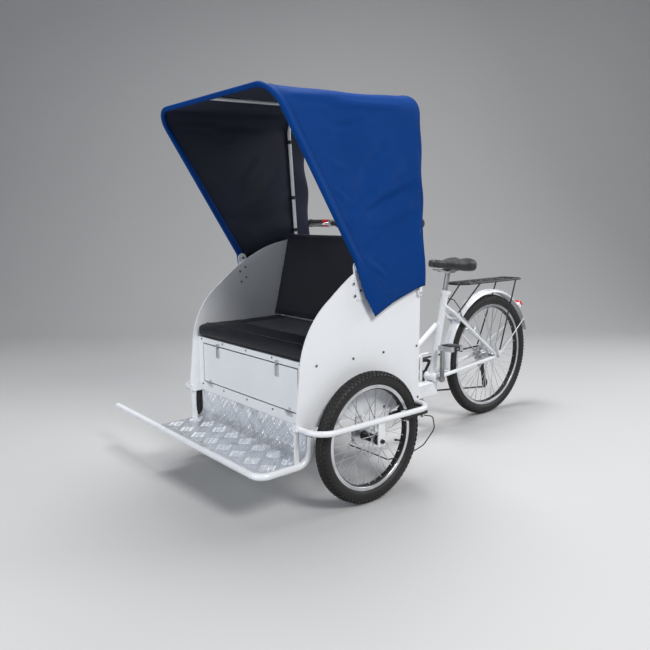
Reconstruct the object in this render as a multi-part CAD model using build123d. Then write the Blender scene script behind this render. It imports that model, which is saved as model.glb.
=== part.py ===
from build123d import *
from math import acos, atan2, cos, degrees, hypot, pi, radians, sin, sqrt, tan
import os

# Front-loading cycle rickshaw: a steered passenger box on two 20 inch wheels,
# pushed by a rear frame with one 26 inch wheel. Millimetres, +X forwards,
# +Y to the left of the rider, +Z up. The model is drawn from the point on
# the ground under the front axles and moved to its bottom centre at the end.

# Fits
GAP = 0.3
PIVOT_GAP = 0.3
DOOR_GAP = 5.0

# Wheels
FRONT_TYRE_R = 260.0
FRONT_TYRE_W = 54.0
FRONT_WHEEL_Y = 440.0
REAR_TYRE_R = 336.0
REAR_TYRE_W = 50.0
TYRE_H = 52.0
FRONT_RIM_R = FRONT_TYRE_R - TYRE_H
REAR_RIM_R = REAR_TYRE_R - TYRE_H
WHEELBASE = 1330.0
RIM_W = 30.0
RIM_DEPTH = 18.0
RIM_WALL = 2.5
TREAD_HALF_W = 15.0
BEAD_SLACK = 2.0
SPOKE_COUNT = 36
SPOKE_W = 2.4
SPOKE_CROSS = 3
FLANGE_R = 29.0
FLANGE_T = 4.0
HUB_BODY_R = 16.0
AXLE_R = 5.0
AXLE_NUT_R = 9.0
AXLE_NUT_T = 9.0
CONE_R = 8.5
CONE_T = 4.0
HUB_END_WALL = 4.0
HUB_FLANGE_INSET = 14.0
HUB_FLANGE_LEFT = 30.0
HUB_FLANGE_RIGHT = -18.0
DRUM_R = 45.0
DRUM_W = 18.0
BACKPLATE_R = 42.0
BACKPLATE_T = 6.0
DRUM_GAP = 1.0
CAM_PLACE = (26.0, 232.0)
CAM_R = 7.0
CAM_LEVER_EYE = (42.0, 220.0)
CAM_LEVER_W = 12.0
CAM_LEVER_T = 3.0
SPOKE_HOLE_INSET = 4.0

# Carriage underframe and its steering bearing
PANEL_Y = 392.0
PANEL_T = 6.0
FRAME_REAR_X = -330.0
FRAME_FRONT_X = 318.0
FRAME_TOP_Z = 361.0
RAIL_W = 25.0
RAIL_H = 26.0
FRONT_RAIL_X = 239.0
KINGPIN_X = -50.0
KINGPIN_R = 15.0
BEARING_R = 25.0
BEARING_CLEAR_Z = 5.0
BEAM_SPREAD = 46.0
DROPOUT_W = 34.0
DROPOUT_T = 5.0
DROPOUT_DROP = 20.0

# Wheel guards
GUARD_R = 11.0
GUARD_Z = 342.0
GUARD_Y = 505.0
GUARD_FRONT_X = 300.0
GUARD_REAR_X = -292.0
GUARD_BEND = 75.0
GUARD_PLATE_T = 4.0
GUARD_PLATE_SINK = 1.0
GUARD_PLATE_CLEAR = 6.5
GUARD_PLATE_W = 66.0
OUTER_DROPOUT_T = 5.0
CABLE_TAB_Y = 448.0
CABLE_TAB_Z = 292.0
CABLE_TAB_W = 16.0
CABLE_TAB_T = 6.0

# Brake cables
CABLE_R = 2.5
DRUM_CABLE_BEND = 38.0
DRUM_CABLE_ROUTE = (
    (-70.0, 384.0, 162.0), (-150.0, 392.0, 118.0), (-250.0, 398.0, 110.0),
    (-345.0, 412.0, 140.0), (-392.0, 432.0, 208.0), (-362.0, 446.0, 272.0),
)

# Passenger box
FLOOR_T = 6.0
FRONT_WALL_X = 264.0
FRONT_WALL_T = 6.0
APRON_Z = 340.0
SEAT_Z = 578.0
SEAT_BOARD_T = 12.0
DOOR_HALF_W = 345.0
DOOR_LOW_Z = 379.0
DOOR_TOP_Z = 555.0
REAR_WALL_TOP_Z = 960.0
PANEL_NOSE = (299.0, 540.0)
PANEL_BELLY = (248.0, 705.0)
PANEL_SHOULDER = (151.0, 806.0)
PANEL_NECK = (30.0, 895.0)
PANEL_CROWN = (-105.0, 962.0)
PANEL_TOP = (-215.0, 990.0)
PANEL_REAR_Z = 1000.0
BACK_LOW = (-134.0, 640.0)
BACK_TOP = (-228.0, 1030.0)
BACK_CUSHION_T = 60.0
BACK_BOARD_T = 10.0
BACK_RAIL = 25.0
CUSHION_H = 56.0
CUSHION_FRONT_X = 284.0
CUSHION_EDGE_R = 22.0
SOFT_GAP = 2.0

# Door furniture
HINGE_Y = 290.0
HINGE_R = 4.0
HINGE_PIN_R = 2.0
HINGE_L = 40.0
HINGE_LEAF_H = 16.0
HINGE_LEAF_T = 2.0
LATCH_Y = 215.0
LATCH_W = 16.0
LATCH_T = 8.0
LATCH_Z = 503.0
CATCH_H = 10.0

# Footrest
FOOT_TUBE_R = 13.0
FOOT_Z = 195.0
FOOT_Y = 379.0
FOOT_FRONT_X = 473.0
FOOT_RISE_X = 247.0
FOOT_RISE_BEND = 60.0
FOOT_CORNER_BEND = 45.0
FOOT_BAR_END_Y = -842.0
FOOT_TUBE_WALL = 2.0
FOOT_BORE_L = 100.0
FOOT_STRUT_X = 308.0
FOOT_STRUT_W = 20.0
FOOT_STRUT_T = 6.0
TREAD_T = 3.0

# Canopy
BOW_R = 8.0
BOW_Y = 405.0
TAB_T = 4.0
TAB_HOLE = (23.0, 916.0)
TAB_ROUND_R = 19.0
TAB_W = 42.0
TAB_LOW_Z = 792.0
FRONT_BOW_TOP = (412.0, 1534.0)
FRONT_BOW_BEND = 85.0
REAR_BOW_BASE = (-317.0, 795.0)
REAR_BOW_TOP = (-262.0, 1560.0)
REAR_BOW_BEND = 72.0
COVER_BEND = 74.0
BOLT_R = 4.0
BOLT_HEAD_R = 6.5
BOLT_HEAD_T = 4.0
STAY_R = 7.0
FABRIC_T = 2.5
FLAP_TIP = (-70.0, 722.0)
FLAP_FRONT_LOW = (2.0, 845.0)
FLAP_MIDDLE_LOW = (-178.0, 788.0)
HOOD_TRIM_OVER = 80.0
HOOD_FRONT_OVER = 60.0
HOOD_REAR_OVER = 14.0
FLAP_REAR_LOW = (-344.0, 815.0)
FLAP_CREASE = (2.0, 950.0)

# Handlebar
BAR_Z = 1072.0
BAR_X = -362.0
BAR_MID_Z = 1022.0
BAR_R = 11.0
BAR_HALF_L = 360.0
BAR_DROP_Y = 60.0
BAR_RISE_Y = BAR_HALF_L - 180.0
BAR_BEND = 40.0
GRIP_R = 16.0
GRIP_L = 105.0
GRIP_CAP = 4.0
GRIP_RING = 3.0
COLLAR_R = 18.0
COLLAR_L = 34.0
STEM_R = 14.0
STEM_FOOT_DROP = 120.0
STEM_SHELF_W = 80.0
STEM_SHELF_T = 12.0
STEM_PLATE_T = 5.0
STEM_PLATE_OVER = 15.0
STEM_WEB_H = 90.0
STEM_WEB_T = 8.0
LEVER_R = 5.0
LEVER_REACH = 36.0
LEVER_L = 125.0
LEVER_CLAMP_L = 22.0
LEVER_BEND = 12.0

# Rear frame, placed from the rear axle forwards
REAR_X = -WHEELBASE
CHAINSTAY_RUN = 464.0
BEAM_W = 50.0
BEAM_LOW_Z = 183.0
BEAM_TOP_Z = 258.0
BEAM_CORNER = 8.0
BB_X = REAR_X + CHAINSTAY_RUN
BEAM_REAR_X = BB_X - 16.0
BB_Z = 280.0
BB_R = 22.0
BB_HALF_W = 36.0
SEAT_TUBE_TOP = (BB_X - 86.0, 700.0)
SEAT_TUBE_LOW_R = 17.0
SEAT_TUBE_TOP_R = 21.0
SEATPOST_R = 13.0
POST_HEAD_L = 44.0
POST_HEAD_W = 60.0
POST_HEAD_LOW = 9.0
POST_HEAD_UP = 8.0
POST_HEAD_ROUND = 6.0
CLAMP_R = 26.0
CLAMP_H = 22.0
DOWN_TUBE_TOP = (BB_X - 27.0, 551.0)
DOWN_TUBE_LOW_X = BB_X + 414.0
DOWN_TUBE_R = 13.0
STAY_TUBE_R = 10.0
SEATSTAY_R = 8.0
BRIDGE_R = 6.0
CHAINSTAY_FRONT_Y = 34.0
SEATSTAY_TOP = (BB_X - 67.0, 652.0)
SEATSTAY_KNEE = (BB_X - 126.0, 606.0)
SEATSTAY_KNEE_Y = 40.0
SEATSTAY_TOP_Y = 14.0
SEATSTAY_BEND = 60.0
REAR_DROPOUT_Y = 68.0
REAR_DROPOUT_T = 5.0
REAR_DROPOUT_R = 20.0
EYELET_REACH = 30.0
EYELET_RISE = 44.0
LEVER_LEAN = (0.52, 0, 0.85)

# Saddle
SADDLE_X = BB_X - 119.0
SADDLE_TOP_Z = 890.0
SADDLE_NOSE_X = SADDLE_X + 147.0
SADDLE_REAR_X = SADDLE_X - 123.0
SADDLE_HALF_W = 100.0
SADDLE_NOSE_HALF_W = 24.0
SADDLE_T = 52.0
SADDLE_CROWN = 18.0
RAIL_R = 3.5
RAIL_DROP = 12.0

# Mudguard, lamp and carrier
MUDGUARD_R = 364.0
MUDGUARD_HALF_W = 29.0
MUDGUARD_T = 2.0
MUDGUARD_LIP = 13.0
MUDGUARD_FRONT_DEG = -6.0
MUDGUARD_REAR_DEG = 163.0
MUDGUARD_STAY_DEG = 150.0
MUDGUARD_STAY_R = 2.5
STAY_LEAN = 1.6
LAMP_DEG = 137.0
LAMP_W = 44.0
LAMP_H = 34.0
LAMP_T = 30.0
CARRIER_Z = 752.0
CARRIER_FRONT_X = REAR_X + 316.0
CARRIER_REAR_X = REAR_X - 222.0
CARRIER_HALF_W = 62.0
CARRIER_R = 5.0
CARRIER_BAR_R = 3.0
CARRIER_BEND = 30.0
CARRIER_CROSS_BARS = (0.18, 0.36, 0.54, 0.72, 0.9)
CARRIER_LEG_R = 4.0
CARRIER_LEG_X = REAR_X - 160.0
CARRIER_STRUT_X = REAR_X + 160.0

# Drive train
CHAIN_Y = -54.0
RING_R = 85.0
RING_T = 3.0
RING_BAND = 16.0
RING_ARMS = 5
RING_ARM_W = 16.0
RING_BOSS_R = 22.0
TOOTH_H = 4.5
CHAIN_PITCH = 12.7
CHAIN_PLATE_T = 1.3
PIN_R = 2.2
SPROCKET_R = 36.0
SPROCKET_T = 2.4
SPROCKET_STEP = 5.0
SPROCKET_PITCH = 5.2
SPROCKETS = 5
FREEHUB_R = 18.0
CASSETTE_COLLAR = 4.0
PULLEY_R = 18.0
CHAIN_W = 7.0
CHAIN_H = 8.0
CHAIN_CLEAR = 0.5
PIN_HALF_L = 2.6
PIN_RUN_END = 20.0
GUIDE_PULLEY = (REAR_X - 32.0, 262.0)
TENSION_PULLEY = (REAR_X - 60.0, 150.0)
CAGE_T = 2.0
DERAILLEUR_ARM_R = 8.0
CRANK_L = 170.0
CRANK_Y = 62.0
CRANK_T = 14.0
CRANK_W = 24.0
SPINDLE_R = 8.0
PEDAL_AXLE_R = 6.0
PEDAL_L = 92.0
PEDAL_W = 84.0
PEDAL_H = 24.0
PEDAL_WALL = 6.0
HOOP_R = 112.0
HOOP_TUBE_R = 5.0
HOOP_FRONT_DEG = -8.0
HOOP_REAR_X = BB_X - 144.0

# Rear rim brake on the seat stays
REAR_ARM_DROP = 34.0
REAR_ARM_OVER = 12.0
REAR_ARM_RISE = 20.0
REAR_ARM_Y = 37.0
REAR_ARM_R = 5.0
STUD_R = 4.0
LINK_R = 3.0
LINK_OFFSET = 1.5
REAR_CABLE_BEND = 14.0
REAR_CABLE_ROUTE = (
    (REAR_X + 290.0, 36.0, 622.0), (REAR_X + 318.0, 14.0, 672.0),
    (REAR_X + 355.0, 0.0, 680.0), (REAR_X + 384.0, 0.0, 680.0),
)

# Rim brakes behind the front wheels
PAD_DEG = 164.0
PAD_L = 46.0
PAD_H = 10.0
PAD_T = 9.0
PAD_GAP = 2.0
BRAKE_PIVOT_X = -155.0
BRAKE_SPREAD = 38.0
BRAKE_END_X = -288.0
BRAKE_ARM_Z = 314.0
BRAKE_ARM_W = 12.0
BRAKE_ARM_T = 8.0
BRAKE_STUD_R = 4.0
BRAKE_TAB_W = 20.0
BRAKE_TAB_T = 6.0

REAR_AXLE = Vector(REAR_X, 0, REAR_TYRE_R)
BB = Vector(BB_X, 0, BB_Z)
RAIL_LOW_Z = FRAME_TOP_Z - RAIL_H
PANEL_IN_Y = PANEL_Y - PANEL_T
SIDES = (("left", 1), ("right", -1))


def rod(start, end, radius):
    """Round bar between two points."""
    start = Vector(*start)
    end = Vector(*end)
    axis = end - start
    return Solid.make_cylinder(radius, axis.length, Plane(origin=start, z_dir=axis))


def taper(start, end, low_radius, top_radius):
    """Round bar whose radius changes from one point to the other."""
    start = Vector(*start)
    end = Vector(*end)
    axis = end - start
    plane = Plane(origin=start, z_dir=axis)
    return Solid.make_cone(low_radius, top_radius, axis.length, plane)


def block(x_range, y_range, z_range):
    """Box between two limits on each axis."""
    size = (x_range[1] - x_range[0], y_range[1] - y_range[0], z_range[1] - z_range[0])
    return Pos(x_range[0], y_range[0], z_range[0]) * Box(*size, align=(Align.MIN,) * 3)


def tube(points, bends, radius):
    """Round bar along corner points, with bends of one radius."""
    path = FilletPolyline(*points, radius=bends)
    start = Plane(origin=path @ 0, z_dir=path % 0)
    return sweep(start * Circle(radius), path=path)


def plate_xz(outline, y_low, y_high):
    """Face drawn in x and z, made solid between two widths."""
    face = Plane.XZ.offset(-y_low) * outline
    return extrude(face, -(y_high - y_low))


def ring_profile(points):
    """Face inside a closed line of x and z points."""
    return make_face(Polyline(*points, close=True))


def mirrored(shape):
    """The same shape on the other side of the middle plane."""
    return mirror(shape, about=Plane.XZ)


def on_side(shape, side):
    """The shape itself for side 1, its mirror image for side -1."""
    return shape if side > 0 else mirrored(shape)


def group(*shapes):
    """Like pieces on one body, as one node of solids that don't touch."""
    return Compound([solid for shape in shapes for solid in shape.solids()])


def polar(centre, radius, angle_deg):
    """Point in x and z at a distance and an angle from an axle."""
    angle = radians(angle_deg)
    return centre.X + radius * cos(angle), centre.Z + radius * sin(angle)


def tyre(tyre_r, tyre_w, rim_r):
    """Tyre in flat bands: a tread, two shoulders and two side walls down to the rim's well."""
    half = tyre_w / 2
    bead = RIM_W / 2 - RIM_WALL - BEAD_SLACK
    side = [(bead, rim_r - RIM_WALL), (half, tyre_r - half), (TREAD_HALF_W, tyre_r)]
    other = [(-y, z) for y, z in reversed(side)]
    return revolve(Plane.YZ * ring_profile(side + other), axis=Axis.Y)


def rim_ring(rim_r):
    """Box rim: two brake walls, a well that carries the tyre and a spoke bed."""
    half = RIM_W / 2
    well = rim_r - RIM_WALL
    low = rim_r - RIM_DEPTH
    points = (
        (half, rim_r), (half, low + 5), (half - 5, low), (-half + 5, low),
        (-half, low + 5), (-half, rim_r), (-half + RIM_WALL, rim_r),
        (-half + RIM_WALL, well), (half - RIM_WALL, well), (half - RIM_WALL, rim_r),
    )
    return revolve(Plane.YZ * ring_profile(points), axis=Axis.Y)


def hub(flange_in, flange_out, end_in, end_out):
    """Hub shell between end_in and end_out with a flange at each side."""
    bore = AXLE_R + PIVOT_GAP
    half_t = FLANGE_T / 2
    end_r = CONE_R + HUB_END_WALL
    points = (
        (end_in, bore), (end_in, end_r), (flange_in - half_t, HUB_BODY_R),
        (flange_in - half_t, FLANGE_R), (flange_in + half_t, FLANGE_R),
        (flange_in + half_t, HUB_BODY_R), (flange_out - half_t, HUB_BODY_R),
        (flange_out - half_t, FLANGE_R), (flange_out + half_t, FLANGE_R),
        (flange_out + half_t, HUB_BODY_R), (end_out, end_r), (end_out, bore),
    )
    return revolve(Plane.YZ * ring_profile(points), axis=Axis.Y)


def drum_hub(flange_out, end_in, end_out):
    """Hub shell whose inner end is a brake drum that the spokes hang from."""
    bore = AXLE_R + PIVOT_GAP
    half_t = FLANGE_T / 2
    rim_y = end_in + DRUM_W
    points = (
        (end_in, CONE_R + GAP), (end_in, DRUM_R - FLANGE_T), (rim_y - FLANGE_T, DRUM_R - FLANGE_T),
        (rim_y - FLANGE_T, DRUM_R), (rim_y, DRUM_R), (rim_y, DRUM_R - 2 * FLANGE_T),
        (rim_y + FLANGE_T, HUB_BODY_R), (flange_out - half_t, HUB_BODY_R),
        (flange_out - half_t, FLANGE_R), (flange_out + half_t, FLANGE_R),
        (flange_out + half_t, HUB_BODY_R), (end_out, CONE_R + HUB_END_WALL), (end_out, bore),
        (end_in + CONE_T, bore), (end_in + CONE_T, CONE_R + GAP),
    )
    return revolve(Plane.YZ * ring_profile(points), axis=Axis.Y)


def spokes(rim_r, flanges):
    """Crossed spokes from two flanges, given as (y, radius), to the rim bed."""
    bars = []
    step = 360 / SPOKE_COUNT
    end_r = rim_r - RIM_DEPTH + RIM_WALL
    lead = SPOKE_CROSS * 2 * step
    for index in range(SPOKE_COUNT):
        flange, flange_r = flanges[index % 2]
        hole_r = flange_r - SPOKE_HOLE_INSET
        turn = lead if index % 4 < 2 else -lead
        rim_angle = radians(index * step)
        hub_angle = rim_angle + radians(turn)
        inside = Vector(hole_r * cos(hub_angle), flange, hole_r * sin(hub_angle))
        outside = Vector(end_r * cos(rim_angle), 0, end_r * sin(rim_angle))
        axis = outside - inside
        plane = Plane(origin=inside, z_dir=axis, x_dir=Vector(0, 1, 0).cross(axis))
        bars.append(extrude(plane * Rectangle(SPOKE_W, SPOKE_W), axis.length))
    return bars


def rear_wheel(flange_in, flange_out, end_in, end_out):
    """Rim, hub and spokes of the rear wheel about the y axis."""
    solid = rim_ring(REAR_RIM_R) + hub(flange_in, flange_out, end_in, end_out)
    return solid + spokes(REAR_RIM_R, ((flange_out, FLANGE_R), (flange_in, FLANGE_R)))


def nut(y, thickness):
    """Hexagon nut round a cross axle, its flat on the plane y."""
    return extrude(Plane(origin=(0, y, 0), z_dir=(0, 1, 0)) * RegularPolygon(AXLE_NUT_R, 6), thickness)


INNER_DROPOUT_Y = PANEL_Y - RAIL_W / 2 - DROPOUT_T
HUB_IN_Y = INNER_DROPOUT_Y + DROPOUT_T + BACKPLATE_T + DRUM_GAP
HUB_OUT_Y = GUARD_Y - OUTER_DROPOUT_T / 2 - CONE_T


def front_wheel_parts():
    """Left front wheel with its tyre and its axle."""
    centre = Pos(0, FRONT_WHEEL_Y, FRONT_TYRE_R)
    end_in = HUB_IN_Y - FRONT_WHEEL_Y
    end_out = HUB_OUT_Y - GAP - FRONT_WHEEL_Y
    flange_out = end_out - HUB_FLANGE_INSET
    drum_flange = end_in + DRUM_W - FLANGE_T / 2
    left_wheel = rim_ring(FRONT_RIM_R) + drum_hub(flange_out, end_in, end_out)
    left_wheel += spokes(FRONT_RIM_R, ((flange_out, FLANGE_R), (drum_flange, DRUM_R)))
    left_wheel = centre * left_wheel
    left_tyre = centre * tyre(FRONT_TYRE_R, FRONT_TYRE_W, FRONT_RIM_R)
    return left_wheel, left_tyre


def front_axle():
    """Fixed axle with a cone each side of the hub and a nut outside each dropout."""
    inner = INNER_DROPOUT_Y
    outer = GUARD_Y + OUTER_DROPOUT_T / 2
    shaft = rod((0, inner - AXLE_NUT_T - 3, 0), (0, outer + AXLE_NUT_T + 4, 0), AXLE_R)
    shaft += rod((0, inner + DROPOUT_T, 0), (0, HUB_IN_Y + CONE_T - GAP, 0), CONE_R)
    shaft += rod((0, HUB_OUT_Y, 0), (0, outer - OUTER_DROPOUT_T, 0), CONE_R)
    shaft += nut(inner - AXLE_NUT_T, AXLE_NUT_T) + nut(outer, AXLE_NUT_T)
    return Pos(0, 0, FRONT_TYRE_R) * shaft


def drum_brake():
    """Fixed plate that closes the drum, with its cam and the lever that the cable pulls."""
    low = INNER_DROPOUT_Y + DROPOUT_T
    plate = rod((0, low, FRONT_TYRE_R), (0, low + BACKPLATE_T, FRONT_TYRE_R), BACKPLATE_R)
    plate -= rod((0, low, FRONT_TYRE_R), (0, low + BACKPLATE_T, FRONT_TYRE_R), CONE_R)
    cam_x, cam_z = CAM_PLACE
    eye_x, eye_z = CAM_LEVER_EYE
    lever_y = low - 2 * CAM_LEVER_T
    plate += rod((cam_x, lever_y, cam_z), (cam_x, low, cam_z), CAM_R)
    reach = hypot(eye_x - cam_x, eye_z - cam_z)
    tilt = degrees(atan2(eye_z - cam_z, eye_x - cam_x))
    middle = ((cam_x + eye_x) / 2, lever_y + CAM_LEVER_T, (cam_z + eye_z) / 2)
    plane = Plane(origin=middle, x_dir=(1, 0, 0), z_dir=(0, -1, 0))
    return plate + extrude(plane * Rot(0, 0, tilt) * SlotCenterToCenter(reach, CAM_LEVER_W), CAM_LEVER_T)


def drum_cable():
    """Brake cable: from the cam lever under the hub, behind the tyre and up to the guard."""
    lever_y = INNER_DROPOUT_Y + DROPOUT_T - CAM_LEVER_T
    eye_x, eye_z = CAM_LEVER_EYE
    points = ((eye_x, lever_y, eye_z),) + DRUM_CABLE_ROUTE + ((GUARD_REAR_X, CABLE_TAB_Y, CABLE_TAB_Z),)
    return tube(points, DRUM_CABLE_BEND, CABLE_R)


def brake_boss(root_y, stud_y):
    """Tab from the frame to a brake arm's stud, which stands down from it."""
    half_w = BRAKE_TAB_W / 2
    reach = half_w if stud_y > root_y else -half_w
    tab = block(
        (BRAKE_PIVOT_X - half_w, BRAKE_PIVOT_X + half_w),
        sorted((root_y, stud_y + reach)),
        (GUARD_Z - BRAKE_TAB_T, GUARD_Z),
    )
    low_z = BRAKE_ARM_Z - BRAKE_ARM_W
    return tab + rod((BRAKE_PIVOT_X, stud_y, GUARD_Z), (BRAKE_PIVOT_X, stud_y, low_z), BRAKE_STUD_R)


def carriage_frame():
    """Welded square tubes under the box with the steering bearing and inner dropouts."""
    rail_in = PANEL_Y - RAIL_W
    z_range = (RAIL_LOW_Z, FRAME_TOP_Z)
    solid = block((FRAME_REAR_X, FRAME_FRONT_X), (rail_in, PANEL_Y), z_range)
    solid += mirrored(solid)
    bars = (FRAME_REAR_X, KINGPIN_X - BEAM_SPREAD / 2 - RAIL_W, KINGPIN_X + BEAM_SPREAD / 2, FRONT_RAIL_X)
    for x in bars:
        solid += block((x, x + RAIL_W), (-rail_in, rail_in), z_range)
    bearing_low = BEAM_TOP_Z + BEARING_CLEAR_Z
    solid += rod((KINGPIN_X, 0, bearing_low), (KINGPIN_X, 0, FRAME_TOP_Z), BEARING_R)
    solid -= rod((KINGPIN_X, 0, bearing_low), (KINGPIN_X, 0, FRAME_TOP_Z), KINGPIN_R + PIVOT_GAP)
    low_z = FRONT_TYRE_R - DROPOUT_DROP
    hanger = block(
        (-DROPOUT_W / 2, DROPOUT_W / 2),
        (INNER_DROPOUT_Y, INNER_DROPOUT_Y + DROPOUT_T),
        (low_z, RAIL_LOW_Z),
    )
    hanger -= rod((0, INNER_DROPOUT_Y, FRONT_TYRE_R), (0, PANEL_Y, FRONT_TYRE_R), AXLE_R)
    hanger += brake_boss(PANEL_Y - RAIL_W / 2, FRONT_WHEEL_Y - BRAKE_SPREAD)
    return solid + hanger + mirrored(hanger)


def guard_tube():
    """Bent tube round the outside of the wheel."""
    points = (
        (GUARD_FRONT_X, PANEL_Y, GUARD_Z), (GUARD_FRONT_X, GUARD_Y, GUARD_Z),
        (GUARD_REAR_X, GUARD_Y, GUARD_Z), (GUARD_REAR_X, PANEL_Y, GUARD_Z),
    )
    return tube(points, GUARD_BEND, GUARD_R)


def wheel_guard():
    """Bent tube round the outside of the front wheel with the outer dropout and cable tab."""
    solid = guard_tube()
    half_t = OUTER_DROPOUT_T / 2
    plate = block(
        (-DROPOUT_W / 2, DROPOUT_W / 2),
        (GUARD_Y - half_t, GUARD_Y + half_t),
        (FRONT_TYRE_R - DROPOUT_DROP, GUARD_Z),
    )
    plate -= rod((0, GUARD_Y - half_t, FRONT_TYRE_R), (0, GUARD_Y + half_t, FRONT_TYRE_R), AXLE_R)
    tab_y = (CABLE_TAB_Y - CABLE_TAB_W / 2, CABLE_TAB_Y + CABLE_TAB_W / 2)
    tab_x = (GUARD_REAR_X - CABLE_TAB_T / 2, GUARD_REAR_X + CABLE_TAB_T / 2)
    tab = block(tab_x, tab_y, (CABLE_TAB_Z - CABLE_TAB_W / 2, GUARD_Z))
    return solid + plate + tab + brake_boss(GUARD_Y, FRONT_WHEEL_Y + BRAKE_SPREAD)


def guard_plates(guard):
    """Dark plates under the guard's corners, in front of the tyre and behind it."""
    top_z = GUARD_Z - GUARD_R + GUARD_PLATE_SINK
    rise = top_z - FRONT_TYRE_R
    reach = sqrt(FRONT_TYRE_R ** 2 - rise ** 2) + GUARD_PLATE_CLEAR
    plates = []
    for x_range in ((reach, GUARD_FRONT_X), (GUARD_REAR_X, -reach)):
        plate = block(x_range, (PANEL_Y, PANEL_Y + GUARD_PLATE_W), (top_z - GUARD_PLATE_T, top_z))
        plates.append(plate - guard)
    return plates


def panel_outline():
    """Side panel seen from the left: a low front, a long curve and a square back."""
    front = Line((FRAME_FRONT_X, FRAME_TOP_Z), PANEL_NOSE)
    lower = ThreePointArc(PANEL_NOSE, PANEL_BELLY, PANEL_SHOULDER)
    upper = ThreePointArc(PANEL_SHOULDER, PANEL_NECK, PANEL_CROWN)
    top = ThreePointArc(PANEL_CROWN, PANEL_TOP, (FRAME_REAR_X, PANEL_REAR_Z))
    back = Line((FRAME_REAR_X, PANEL_REAR_Z), (FRAME_REAR_X, FRAME_TOP_Z))
    base = Line((FRAME_REAR_X, FRAME_TOP_Z), (FRAME_FRONT_X, FRAME_TOP_Z))
    return make_face(front + lower + upper + top + back + base)


def side_panel():
    """Left side panel with its rounded top and the wheel cut-out."""
    panel = plate_xz(panel_outline(), PANEL_IN_Y, PANEL_Y)
    for x, z in (TAB_HOLE, REAR_BOW_BASE):
        panel -= rod((x, PANEL_IN_Y, z), (x, PANEL_Y, z), BOLT_R)
    return panel


def bow_tab():
    """Plate on the panel's outer face that carries the pivot bolt of the front bow."""
    x, z = TAB_HOLE
    low = Vector(5, 0, TAB_LOW_Z)
    high = Vector(x, 0, z)
    axis = high - low
    plane = Plane(origin=(low.X, PANEL_Y, low.Z), x_dir=(0, 1, 0), z_dir=axis)
    strap = extrude(plane * Pos(TAB_T / 2, 0) * Rectangle(TAB_T, TAB_W), axis.length)
    strap += rod((x, PANEL_Y, z), (x, PANEL_Y + TAB_T, z), TAB_W / 2)
    return strap - rod((x, PANEL_Y, z), (x, PANEL_Y + TAB_T, z), BOLT_R)


def front_wall():
    """Front wall and apron of the box with the opening for the storage door."""
    x_range = (FRONT_WALL_X, FRONT_WALL_X + FRONT_WALL_T)
    rail_in = PANEL_Y - RAIL_W
    wall = block(x_range, (-PANEL_IN_Y, PANEL_IN_Y), (FRAME_TOP_Z, SEAT_Z))
    wall += block(x_range, (-rail_in, rail_in), (APRON_Z, FRAME_TOP_Z))
    return wall - block(x_range, (-DOOR_HALF_W, DOOR_HALF_W), (DOOR_LOW_Z, DOOR_TOP_Z))


def box_floor():
    """Floor sheet of the storage box."""
    x_range = (FRAME_REAR_X, FRONT_WALL_X)
    floor = block(x_range, (-PANEL_IN_Y, PANEL_IN_Y), (FRAME_TOP_Z, FRAME_TOP_Z + FLOOR_T))
    hole = rod((KINGPIN_X, 0, FRAME_TOP_Z), (KINGPIN_X, 0, FRAME_TOP_Z + FLOOR_T), BEARING_R + 5)
    return floor - hole


def seat_board():
    """Board under the seat cushion."""
    return block(
        (FRAME_REAR_X + FLOOR_T, FRONT_WALL_X), (-PANEL_IN_Y, PANEL_IN_Y), (SEAT_Z - SEAT_BOARD_T, SEAT_Z)
    )


def rear_wall():
    """Rear wall of the box with the cross rail that the backrest leans on."""
    wall_front = FRAME_REAR_X + FLOOR_T
    wall = block(
        (FRAME_REAR_X, wall_front), (-PANEL_IN_Y, PANEL_IN_Y), (FRAME_TOP_Z + FLOOR_T, REAR_WALL_TOP_Z)
    )
    rail = block(
        (wall_front, BACK_RAIL_X), (-PANEL_IN_Y, PANEL_IN_Y), (REAR_WALL_TOP_Z - BACK_RAIL, REAR_WALL_TOP_Z)
    )
    return wall + rail


BACK_AXIS = Vector(BACK_TOP[0] - BACK_LOW[0], 0, BACK_TOP[1] - BACK_LOW[1])
BACK_NORMAL = Vector(BACK_AXIS.Z, 0, -BACK_AXIS.X).normalized()


def back_line_x(depth, z):
    """X of the plane that lies depth behind the backrest's front face, at height z."""
    start = Vector(BACK_LOW[0], 0, BACK_LOW[1]) - BACK_NORMAL * depth
    share = (z - start.Z) / BACK_AXIS.Z
    return start.X + BACK_AXIS.X * share


BACK_RAIL_X = back_line_x(BACK_CUSHION_T + BACK_BOARD_T + GAP, REAR_WALL_TOP_Z) - GAP


def backrest_slab(depth_low, depth_high, half_w, base_z, top_z):
    """Leaning slab between two depths behind the backrest face."""
    points = (
        (back_line_x(depth_low, base_z), base_z), (back_line_x(depth_low, top_z), top_z),
        (back_line_x(depth_high, top_z), top_z), (back_line_x(depth_high, base_z), base_z),
    )
    return plate_xz(ring_profile(points), -half_w, half_w)


def back_board():
    """Board behind the back cushion."""
    depth = BACK_CUSHION_T + GAP
    return backrest_slab(depth, depth + BACK_BOARD_T, PANEL_IN_Y, SEAT_Z, BACK_TOP[1] - 12)


def back_cushion():
    """Plain padded backrest."""
    half = PANEL_IN_Y - SOFT_GAP
    slab = backrest_slab(0, BACK_CUSHION_T, half, SEAT_Z + CUSHION_H + SOFT_GAP, BACK_TOP[1])
    front_edges = slab.edges().filter_by(Axis.Y).sort_by(Axis.Z)[-2:]
    return fillet(front_edges, CUSHION_EDGE_R)


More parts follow.
